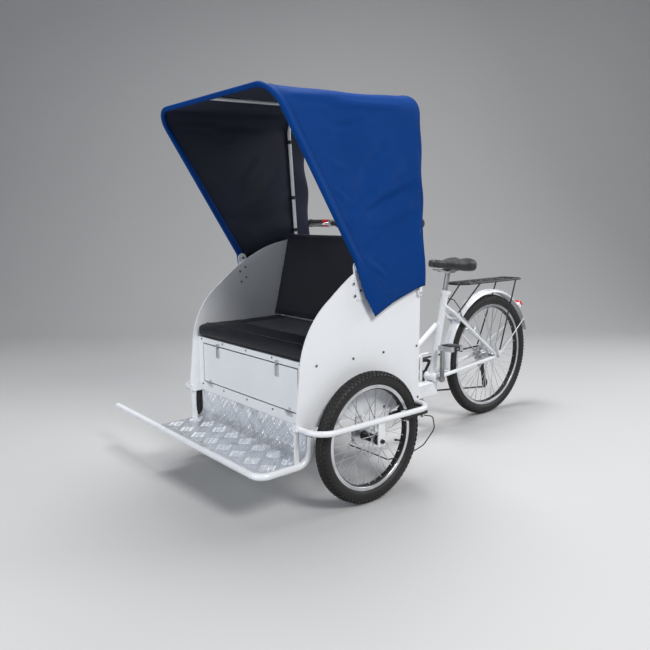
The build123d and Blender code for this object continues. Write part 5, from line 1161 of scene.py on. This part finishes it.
# A squared collar on a rounded head, one unit wide, pointing along +Z
NIPPLE = ((-0.3, 0.85), (0.35, 0.8), (0.5, 0.5), (2.0, 0.42), (2.2, 0.28), (2.2, 0.02))
VALVE = (
    (-0.014, 0.004), (-0.019, 0.0042), (-0.021, 0.0036), (-0.047, 0.0034), (-0.048, 0.0042),
    (-0.060, 0.0042), (-0.0615, 0.0030), (-0.0615, 0.0001),
)
HUB_CAP = (
    (0.0295, 0.0128), (0.0305, 0.0188), (0.0330, 0.0190), (0.0345, 0.0176), (0.0365, 0.0172),
    (0.0365, 0.0128),
)


@functools.cache
def wheel_alloy(front):
    """Silver rim and spokes, black spoke bed; the front hubs are black outside the brake drum."""
    f = Finish("Front wheel alloy" if front else "Rear wheel alloy")
    _, place, _, _, rim, _ = WHEELS[0 if front else -1]
    radius = f.radius(at(*place)) * 1000
    side = ((f.axis("Y") - SHIFT.y) * 1000).abs()
    dark = (1 - radius.within(rim - BED_LOW, 0.5)) * radius.within(rim - BED_HIGH, 0.5)
    if front:
        dark = (dark + radius.within(HUB_R, 0.5) * (1 - side.within(HUB_SIDE, 0.5))).clamp()
    lathe = (radius * LATHE_LINES).sine()
    cloud = f.noise(14.0, 4.0)
    silver = f.mix(cloud.above(0.35, 0.7), (0.74, 0.75, 0.77), (0.56, 0.57, 0.59))
    color = f.mix(dark, silver, (0.014, 0.014, 0.015))
    metal = 0.95 - dark * 0.8
    rough = 0.22 + cloud * 0.14 + dark * 0.18
    return f.surface(color, rough, lathe, 0.03, 0.0002, Metallic=metal)


class RICKSHAW_OT_wheels(bpy.types.Operator):
    """Spoke nipples, valves and hub caps"""

    bl_idname = "rickshaw.wheels"
    bl_label = "Wheel details"

    def execute(self, context):
        unit = turned_unit("nipple unit", NIPPLE, 8)
        for name, place, _, _, rim_r, valve in WHEELS:
            node, body, centre = f"wheel_{name}", f"wheel_{name}_body", at(*place)
            spots = []
            for index in range(SPOKES):
                away = wheel_way(2 * math.pi * index / SPOKES)
                lean = Vector((0, NIPPLE_LEAN if index % 2 else -NIPPLE_LEAN, 0))
                spots.append((centre + away * (rim_r - NIPPLE_IN) / 1000, lean - away, (0, 1, 0), NIPPLE_W))
            copies(node + "_nipples", spots, unit, white_plastic(), body)
            away = wheel_way(math.radians(valve))
            black = black_plastic(), body, "black_plastic", False
            turned(node + "_valve", [(centre + away * rim_r / 1000, away)], VALVE, 14, *black)
            if "front" in name:
                turned(node + "_cap", [(centre, (0, place[1], 0))], HUB_CAP, 40, *black)
        return {"FINISHED"}


# Fasteners

# Raised round screw head, 1 across and facing +Z
SCREW = ((0.0, 0.5), (0.12, 0.5), (0.24, 0.44), (0.31, 0.3), (0.33, 0.16), (0.24, 0.1), (0.2, 0.001))
SCREW_SIDES = 16
PANEL_SCREWS = ((222, 566), (41, 568), (-120, 571), (-313, 572), (-325, 352), (108, 349), (-126, 348))
TAB_SCREWS = ((14, 873), (8, 826), (42, 854), (36, 807))
# Screws on both sides: places, distance from the middle, 1 for outwards, long way, size in metres
SIDE_SCREWS = (
    (PANEL_SCREWS, 392.0, 1, (1, 0, 0.4), 0.0105),
    (TAB_SCREWS, 396.0, 1, (0.6, 0, 1), 0.0095),
    (TAB_SCREWS, 386.0, -1, (0.2, 0, 1), 0.0095),
)
# Screws found on the walls by rays: nodes, start x and its way, places across and up, size across
WALL_SCREWS = (
    (("front_wall", "wall_fittings"), 420, -1, (-355, -180, 0, 180, 355), (366, 570), 0.0085),
    (("rear_wall",), -460, 1, (-360, -120, 120, 360), (390, 640, 925), 0.0095),
)


class RICKSHAW_OT_fasteners(bpy.types.Operator):
    """Screw heads on the panels, tabs and walls"""

    bl_idname = "rickshaw.fasteners"
    bl_label = "Fasteners"

    def execute(self, context):
        unit = turned_unit("screw unit", SCREW, SCREW_SIDES)
        spots = [
            (at(x, side * y, z), (0, side * out, 0), along, size)
            for side in (1, -1) for places, y, out, along, size in SIDE_SCREWS for x, z in places
        ]
        copies("panel_screws", spots, unit, dull_steel(), CARRIAGE)
        spots = []
        for nodes, x, way, across, up, size in WALL_SCREWS:
            tree = surface_of(*nodes)
            for y in across:
                for z in up:
                    point, normal, _, _ = tree.ray_cast(at(x, y, z), Vector((way, 0, 0)))
                    if point is not None:
                        spots.append((point, normal, (0, 1, 0.3), size))
        copies("wall_screws", spots, unit, dull_steel(), CARRIAGE, variation=0.05)
        return {"FINISHED"}


def surface_of(*nodes):
    """Search tree over the faces of CAD nodes."""
    points, faces = [], []
    for node in nodes:
        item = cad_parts[node]
        first = len(points)
        points += [item.matrix_world @ vert.co for vert in item.data.vertices]
        faces += [[first + i for i in face.vertices] for face in item.data.polygons]
    return BVHTree.FromPolygons(points, faces)


# Footrest

# Raised bars of the tread plate: cell, bar length, width and height, gap between bars, in metres
TREAD_CELL, BAR_L, BAR_W, BAR_H, BAR_GAP = 0.070, 0.055, 0.0058, 0.0019, 0.0122
# Cells each way from the middle of the front edge; bare margins at the ends and sides, in metres
TREAD_CELLS, MARGIN_END, MARGIN_SIDE = 31, 0.006, 0.008
DIAGONAL = 0.7071
# The plate's outline is read by a fan of rays and kept at this pitch, in metres
FAN_RAYS, FAN_PITCH = 4000, 0.0015
# Raised pressing with pointed ends, 1 long, 1 wide and 1 high
LOZENGE_LEVELS = ((1.0, -0.1), (0.82, 0.62), (0.45, 1.0))
LOZENGE_SIDES = 10


def plate_line(tree, low, high):
    """Points and normals of the plate's top along its middle, at even steps from the front."""
    line = []
    eye = Vector((high.x - 0.006, (low.y + high.y) / 2 + 0.003, high.z + 0.02))
    for step in range(FAN_RAYS):
        down = wheel_way(math.radians(90 * (1 - step / (FAN_RAYS - 1))))
        point, normal, _, _ = tree.ray_cast(eye, -down)
        if point is not None and (not line or (point - line[-1][0]).length >= FAN_PITCH):
            line.append((point, normal))
    return line


class RICKSHAW_OT_tread_plate(bpy.types.Operator):
    """Raised lozenges pressed into the footrest plate"""

    bl_idname = "rickshaw.tread_plate"
    bl_label = "Tread plate"

    def execute(self, context):
        low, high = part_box("footrest_plate")
        tree = surface_of("footrest_plate")
        line = plate_line(tree, low, high)
        lengths = [0.0]
        for (first, _), (second, _) in zip(line, line[1:]):
            lengths.append(lengths[-1] + (second - first).length)

        def on_plate(run, y):
            """Point and normal at a distance from the front edge, or nothing off the plate."""
            inside = low.y + MARGIN_SIDE < y < high.y - MARGIN_SIDE
            if not inside or not MARGIN_END < run < lengths[-1] - MARGIN_END:
                return None
            point, normal = line[min(bisect.bisect_left(lengths, run), len(line) - 1)]
            place = Vector((point.x, y, point.z))
            hit = tree.ray_cast(place + normal * 0.02, -normal, 0.04)
            return (place, normal) if hit[0] is not None else None

        spots = []
        for i in range(-TREAD_CELLS, TREAD_CELLS):
            for j in range(-TREAD_CELLS, TREAD_CELLS):
                ahead = (i + j) * TREAD_CELL * DIAGONAL
                aside = (low.y + high.y) / 2 + (i - j) * TREAD_CELL * DIAGONAL
                lean = 1 if (i + j) % 2 else -1
                for bar in range(-2, 3):
                    for part in (-1, 0, 1):
                        shift, gap = part * BAR_L / 3 * DIAGONAL, bar * BAR_GAP * DIAGONAL
                        here = on_plate(ahead + lean * (shift - gap), aside + gap + shift)
                        if here is None:
                            continue
                        place, normal = here
                        down = Vector((0, 1, 0)).cross(normal)
                        along = Vector((0, DIAGONAL, 0)) - down * DIAGONAL * lean
                        share = 0.8 if part else 1.0
                        size = BAR_L / 3 * 1.12, BAR_W * share, BAR_H * (0.8 + 0.2 * share)
                        spots.append((place, normal, along, size))
        ring = []
        for step in range(LOZENGE_SIDES):
            angle = 2 * math.pi * step / LOZENGE_SIDES
            x, y = math.cos(angle), math.sin(angle)
            ring.append((x * 0.5, y * 0.5 * abs(y) ** 0.4))
        unit = stacked_unit("lozenge unit", ring, LOZENGE_LEVELS)
        copies("footrest_lozenges", spots, unit, tread_alloy(), CARRIAGE)
        return {"FINISHED"}


# Sewing

STITCH_PITCH, STITCH_L, STITCH_LIFT = 0.0062, 0.0044, 0.0003
# Cross stitched lines: the ribs, counted from each end of the sheet
CROSS_LINES = (2, -3)
# Ties on the rear bow: heights in millimetres and section in metres
TIE_HEIGHTS = (1040, 1195, 1455)
TIE = ((-0.008, 0.0084), (-0.008, 0.0097), (0.008, 0.0097), (0.008, 0.0084))
# Seat piping: radius of the cord round the insert and of the one behind the front edge, corner radius
CORD_R, EDGE_CORD_R, CORD_CORNER = 0.0026, 0.0028, 0.03


def unit_stitch():
    """Thread between two holes, 1 long along X, bulging along Z."""
    path = [Vector((x, 0, 0.16 * (1 - (2 * x) ** 2) - 0.03)) for x in (-0.5, -0.3, 0.0, 0.3, 0.5)]
    return closed_mesh("stitch unit", lambda bm: add_tube(bm, path, [0.09, 0.15, 0.17, 0.15, 0.09], 5))


def stitches(points, normals):
    """Spots at the stitch pitch along a line of points with their outward directions."""
    spots, need = [], STITCH_PITCH / 2
    for a, b, normal in zip(points, points[1:], normals):
        run = (b - a).length
        if run < 1e-6:
            continue
        while need <= run:
            spots.append((a.lerp(b, need / run), normal, b - a, STITCH_L))
            need += STITCH_PITCH
        need -= run
    return spots


def sheet_line(rows, column):
    """Points and outward directions down one column of the hood's rows."""
    points, normals = [], []
    last = len(rows) - 1
    for index, row in enumerate(rows):
        ahead = rows[min(index + 1, last)][column] - rows[max(index - 1, 0)][column]
        normal = (row[column + 1] - row[column - 1]).cross(ahead).normalized()
        inside = at(-40, 0, 1150 if abs(row[PROBE_COLUMN].y - SHIFT.y) > 0.3 else 1300)
        if normal.dot(row[column] - inside) < 0:
            normal = -normal
        points.append(row[column] + normal * STITCH_LIFT)
        normals.append(normal)
    return points, normals


class RICKSHAW_OT_sewing(bpy.types.Operator):
    """Stitches along the hood's sleeve and hems, ties and seat piping"""

    bl_idname = "rickshaw.sewing"
    bl_label = "Sewing"

    def execute(self, context):
        rows = hood_rows()
        spots = []
        for column in (SEAM_COLUMN + 1, HEM_COLUMN):
            spots += stitches(*sheet_line(rows, column))
        for line in CROSS_LINES:
            points = rows[line][SEAM_COLUMN + 1:REAR_BOW_COLUMN]
            out = Vector((0, 1 if points[0].y > SHIFT.y else -1, 0))
            spots += stitches([point + out * STITCH_LIFT for point in points], [out] * len(points))
        copies("hood_stitches", spots, unit_stitch(), hood_thread(), CARRIAGE)
        self.ties()
        self.piping()
        return {"FINISHED"}

    def ties(self):
        """Black straps that hold the hood to the rear bow's legs."""
        up = REAR_CORNER - REAR_BASE
        places = []
        for side in (1, -1):
            for z in TIE_HEIGHTS:
                x = REAR_BASE.x + up.x * (z - REAR_BASE.z) / up.z
                places.append((at(x, side * REAR_BASE.y, z), up))
        turned("hood_ties", places, TIE, 20, black_plastic(), CARRIAGE, "black_plastic")

    def piping(self):
        """Cords round the insert of the seat and along its front edge."""
        low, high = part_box("seat_cushion")
        tree = BVHTree.FromObject(bpy.data.objects["seat_pad"], bpy.context.evaluated_depsgraph_get())

        def drop(x, y):
            point = tree.ray_cast(Vector((x, y, high.z + 0.1)), Vector((0, 0, -1)))[0]
            return point if point is not None else Vector((x, y, high.z))

        def build(bm):
            front = at(INSERT_FRONT, 0, 0).x + 0.002
            near, half, corner = low.x + 0.05, INSERT_HALF, CORD_CORNER
            turn = corner * 0.3
            bend = [(near, half), (front - corner, half), (front - turn, half - turn), (front, half - corner)]
            line = [(x, -y) for x, y in bend] + [(front, y / 100) for y in range(-22, 23, 4)] + bend[::-1]
            dense = smooth_path([Vector((x, y, 0)) for x, y in line], 0.012)
            path = [drop(p.x, SHIFT.y + p.y) + Vector((0, 0, 0.0006)) for p in dense]
            add_tube(bm, path, CORD_R, 8)
            span = high.y - low.y - 0.04
            edge = [drop(high.x - 0.045, low.y + 0.02 + span * k / 60) for k in range(61)]
            add_tube(bm, [p + Vector((0, 0, 0.0004)) for p in edge], EDGE_CORD_R, 8)
        piece("seat_piping", closed_mesh("piping", build), grip_rubber(), CARRIAGE)


# Saddle

# Saddle sections from the nose back: share of the length, half width, top, bottom and groove,
# the last three in metres under the highest point
SADDLE_SECTIONS = (
    (0.00, 0.004, 0.016, 0.026, 0.0), (0.015, 0.017, 0.008, 0.036, 0.0),
    (0.05, 0.025, 0.004, 0.044, 0.0), (0.15, 0.030, 0.004, 0.050, 0.001),
    (0.30, 0.034, 0.008, 0.052, 0.002), (0.45, 0.045, 0.012, 0.056, 0.004),
    (0.58, 0.064, 0.011, 0.062, 0.006), (0.70, 0.086, 0.006, 0.069, 0.009),
    (0.80, 0.096, 0.002, 0.074, 0.013), (0.89, 0.099, 0.001, 0.074, 0.015),
    (0.95, 0.093, 0.004, 0.068, 0.015), (0.985, 0.079, 0.011, 0.058, 0.012),
    (1.00, 0.060, 0.022, 0.044, 0.006),
)
# How far the skirt hangs under the CAD saddle, and half width of the groove, in metres
SADDLE_SKIRT, GROOVE_W = 0.024, 0.021
SADDLE_ROWS, SADDLE_SIDES = 56, 44
# How square the saddle's section is to the sides, on top and at the skirt, less than 1 being squarer
SQUARE_SIDE, SQUARE_TOP, SQUARE_SKIRT = 0.72, 0.62, 0.35
# The seam between top and skirt, under the highest point
SADDLE_SEAM = 0.0275


def saddle_section(share):
    """Half width, top, bottom and groove of the saddle at a share of its length."""
    for first, second in zip(SADDLE_SECTIONS, SADDLE_SECTIONS[1:]):
        if share <= second[0]:
            blend = (share - first[0]) / (second[0] - first[0])
            blend = (eased(blend) + blend) / 2
            return [a + (b - a) * blend for a, b in zip(first[1:], second[1:])]
    return SADDLE_SECTIONS[-1][1:]


class RICKSHAW_OT_saddle(bpy.types.Operator):
    """Moulded saddle with a nose, two rear lobes and a skirt"""

    bl_idname = "rickshaw.saddle"
    bl_label = "Saddle"

    def execute(self, context):
        low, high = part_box("saddle")
        low.z -= SADDLE_SKIRT
        rows = []
        for step in range(SADDLE_ROWS + 1):
            share = step / SADDLE_ROWS
            share -= math.sin(share * 2 * math.pi) / (2 * math.pi) * 0.35
            width, top, bottom, groove = saddle_section(share)
            x = high.x - 0.001 - (high.x - low.x - 0.002) * share
            middle = (top + bottom) / 2
            row = []
            for turn in range(SADDLE_SIDES):
                angle = 2 * math.pi * turn / SADDLE_SIDES
                side, rise = math.cos(angle), math.sin(angle)
                y = width * math.copysign(abs(side) ** SQUARE_SIDE, side)
                if rise > 0:
                    z = -middle + (middle - top) * rise ** SQUARE_TOP
                    z -= groove * math.exp(-(y / GROOVE_W) ** 2)
                else:
                    z = -middle - (bottom - middle) * abs(rise) ** SQUARE_SKIRT
                    z += 0.006 * math.exp(-(y / (width * 0.6 + 0.001)) ** 2)
                row.append(Vector((x, SHIFT.y + y, high.z + z)))
            rows.append(row)

        def build(bm):
            verts = add_grid(bm, rows, close_columns=True)
            bm.faces.new(verts[0])
            bm.faces.new(verts[-1])
        skin = piece("saddle_skin", closed_mesh("saddle", build), saddle_vinyl(), REAR)
        keep_inside(skin, low, high)
        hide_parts("saddle")
        return {"FINISHED"}


@finish("Saddle vinyl")
def saddle_vinyl(f):
    grain = f.cells(650.0)
    cloud = f.noise(24.0, 4.0)
    z, line = f.axis("Z"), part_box("saddle")[1].z - SADDLE_SEAM
    skirt = z.below(line - 0.0025, line + 0.0015)
    tone = f.mix(cloud.above(0.35, 0.7), (0.020, 0.021, 0.023), (0.040, 0.041, 0.044))
    tone = f.mix(skirt * 0.6, tone, (0.010, 0.010, 0.011))
    seam = z.above(line - 0.0015, line) * z.below(line, line + 0.0015)
    height = grain.above(0.0, 0.1) * 0.5 - seam * 2.0
    return f.surface(tone, 0.36 + cloud * 0.16, height, 0.25, 0.0006, Sheen_Weight=0.1, Sheen_Roughness=0.4)


# Small fittings

# Ribs of the grips, in millimetres: place of the bar, first rib, pitch and count
GRIP_X, GRIP_Z, RIB_START, RIB_PITCH, RIBS = -362, 1072, 262, 6.3, 15
RIB = ((-0.0019, 0.0158), (-0.0012, 0.0171), (0.0012, 0.0171), (0.0019, 0.0158))
# Ridges on the mudguard: first and last angle, points, radius of the arc, offset and thickness in metres
RIDGE_FIRST, RIDGE_LAST, RIDGE_POINTS = -4, 161, 90
RIDGE_ARC, RIDGE_Y, RIDGE_R = 0.3636, 0.013, 0.0022
# Round weld beads on the rear frame: place, axis and radius in millimetres
WELDS = (
    ((-893, 0, 551), (0.66, 0, -0.75), 13.6),
    ((-866, 22, 280), (0, 1, 0), 22.6), ((-866, -22, 280), (0, 1, 0), 22.6),
)
BEAD_R, BEAD_SWELL = 0.0017, 0.0004


class RICKSHAW_OT_fittings(bpy.types.Operator):
    """Ribs of the grips, ridges of the mudguard and weld beads"""

    bl_idname = "rickshaw.fittings"
    bl_label = "Small fittings"

    def execute(self, context):
        places = [
            (at(GRIP_X, side * (RIB_START + index * RIB_PITCH), GRIP_Z), (0, 1, 0))
            for side in (1, -1) for index in range(RIBS)
        ]
        turned("grip_ribs", places, RIB, 28, grip_rubber(), CARRIAGE, "grip_rubber")
        ridges, welds = closed_mesh("ridges", self.ridges), closed_mesh("welds", self.welds)
        piece("mudguard_ridges", ridges, white_paint(), REAR)
        piece("weld_beads", welds, white_paint(), REAR)
        return {"FINISHED"}

    def ridges(self, bm):
        """Two raised lines along the mudguard's back."""
        step = (RIDGE_LAST - RIDGE_FIRST) / (RIDGE_POINTS - 1)
        ways = [wheel_way(math.radians(RIDGE_FIRST + step * index)) for index in range(RIDGE_POINTS)]
        for y in (-RIDGE_Y, RIDGE_Y):
            middle = at(*REAR_AXLE) + Vector((0, y, 0))
            add_tube(bm, [middle + way * RIDGE_ARC for way in ways], RIDGE_R, 8)

    def welds(self, bm):
        """Beads where the tubes of the rear frame meet."""
        for place, axis, radius in WELDS:
            count = max(18, int(radius * 2.4))
            ways = ring_ways(Vector(axis).normalized(), count)
            path = [at(*place) + way * radius / 1000 for way in ways + ways[:1]]
            add_tube(bm, path, [BEAD_R + BEAD_SWELL * (step % 2) for step in range(count + 1)], 7, caps=False)


# Finishes of the CAD nodes

NODE_FINISHES = (
    (white_paint, "back_board bow_tabs canopy_bow_front canopy_bow_rear canopy_stay carriage_frame "
     "footrest_frame main_beam mudguard rear_frame seat_clamp wheel_guards box_door chain_guard"),
    (panel_paint, "side_panel_left side_panel_right front_wall rear_wall box_floor"),
    (tread_alloy, "footrest_plate"),
    (silver_alloy, "brake_levers drum_brakes rear_brake wall_fittings"),
    (bright_steel, "axle_rear door_fittings bow_bolts cassette saddle_rails seatpost"),
    (dull_steel, "chain"),
    (black_paint, "carrier guard_plates axles_front"),
    (black_plastic, "handlebar rim_brakes saddle drum_cables rear_brake_cable"),
    (white_plastic, "lamp_housing"),
    (red_lens, "lamp_lens"),
    (red_plastic, "twist_collar"),
    (grip_rubber, "grips"),
    (tyre_rubber, "tyre_front_left tyre_front_right tyre_rear"),
    (board_grey, "seat_board"),
)


class RICKSHAW_OT_finishes(bpy.types.Operator):
    """Detailed finish on every solid of the CAD model"""

    bl_idname = "rickshaw.finishes"
    bl_label = "Finishes"

    def execute(self, context):
        for build, nodes in NODE_FINISHES:
            for node in nodes.split():
                dress(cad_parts[node].data, build())
        for name, *_ in WHEELS:
            dress(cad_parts[f"wheel_{name}"].data, wheel_alloy("front" in name))
        dress(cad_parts["crank_set"].data, crank_alloy())
        dress(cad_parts["rear_derailleur"].data, derailleur_paint())
        for node in ("pedal_left", "pedal_right"):
            dress(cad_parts[node].data, pedal_metal(node))
        return {"FINISHED"}


# Add-on


class RickshawLook(bpy.types.PropertyGroup):
    """Sizes and colours that a user would change"""

    paint: FloatVectorProperty(
        name="Paint", description="Colour of the frame and box", subtype="COLOR", size=3,
        default=(0.80, 0.82, 0.85), min=0, max=1,
    )
    canvas: FloatVectorProperty(
        name="Hood", description="Outer colour of the hood cloth", subtype="COLOR", size=3,
        default=(0.0004, 0.036, 0.185), min=0, max=1,
    )
    # Colour of the hood's inner face, darkened as painted shade under the hood
    inner_shade: FloatVectorProperty(
        name="Inner shade", description="Inner colour of the hood cloth", subtype="COLOR", size=3,
        default=(0.0022, 0.0055, 0.020), min=0, max=1,
    )
    seat: FloatVectorProperty(
        name="Seat", description="Colour of the cushions", subtype="COLOR", size=3,
        default=(0.0060, 0.0066, 0.0110), min=0, max=1,
    )
    seat_insert: FloatVectorProperty(
        name="Seat panel", description="Colour of the seat's paler middle", subtype="COLOR", size=3,
        default=(0.043, 0.046, 0.057), min=0, max=1,
    )
    cloth: FloatProperty(
        name="Cloth thickness", description="Thickness of the hood cloth", unit="LENGTH",
        default=0.0014, min=0.0005, max=0.003,
    )
    sag: FloatProperty(
        name="Hood sag", description="How far the hood hangs in between its bows", unit="LENGTH",
        default=0.013, min=0.0, max=0.03,
    )
    thread_pitch: FloatProperty(
        name="Weave pitch", description="Distance between the hood's threads", unit="LENGTH",
        default=0.0016, min=0.0005, max=0.005,
    )
    ambient: FloatProperty(
        name="Ambient light", description="Strength of the light from all round", default=0.19, min=0, max=3
    )


OPERATORS = (
    RICKSHAW_OT_stage,
    RICKSHAW_OT_finishes,
    RICKSHAW_OT_hood,
    RICKSHAW_OT_cushions,
    RICKSHAW_OT_tyres,
    RICKSHAW_OT_wheels,
    RICKSHAW_OT_fasteners,
    RICKSHAW_OT_tread_plate,
    RICKSHAW_OT_sewing,
    RICKSHAW_OT_saddle,
    RICKSHAW_OT_fittings,
)


class RICKSHAW_PT_panel(bpy.types.Panel):
    """The steps that dress the rickshaw"""

    bl_idname = "RICKSHAW_PT_panel"
    bl_label = "Rickshaw"
    bl_space_type = "VIEW_3D"
    bl_region_type = "UI"
    bl_category = "Rickshaw"

    def draw(self, context):
        for name in RickshawLook.__annotations__:
            self.layout.prop(context.scene.rickshaw_look, name)
        for operator in OPERATORS:
            self.layout.operator(operator.bl_idname)


def register():
    for made in (RickshawLook, *OPERATORS, RICKSHAW_PT_panel):
        bpy.utils.register_class(made)
    bpy.types.Scene.rickshaw_look = PointerProperty(type=RickshawLook)


def unregister():
    del bpy.types.Scene.rickshaw_look
    for made in (RICKSHAW_PT_panel, *reversed(OPERATORS), RickshawLook):
        bpy.utils.unregister_class(made)


def main():
    register()
    for operator in OPERATORS:
        group, name = operator.bl_idname.split(".")
        getattr(getattr(bpy.ops, group), name)()


if __name__ == "__main__":
    main()
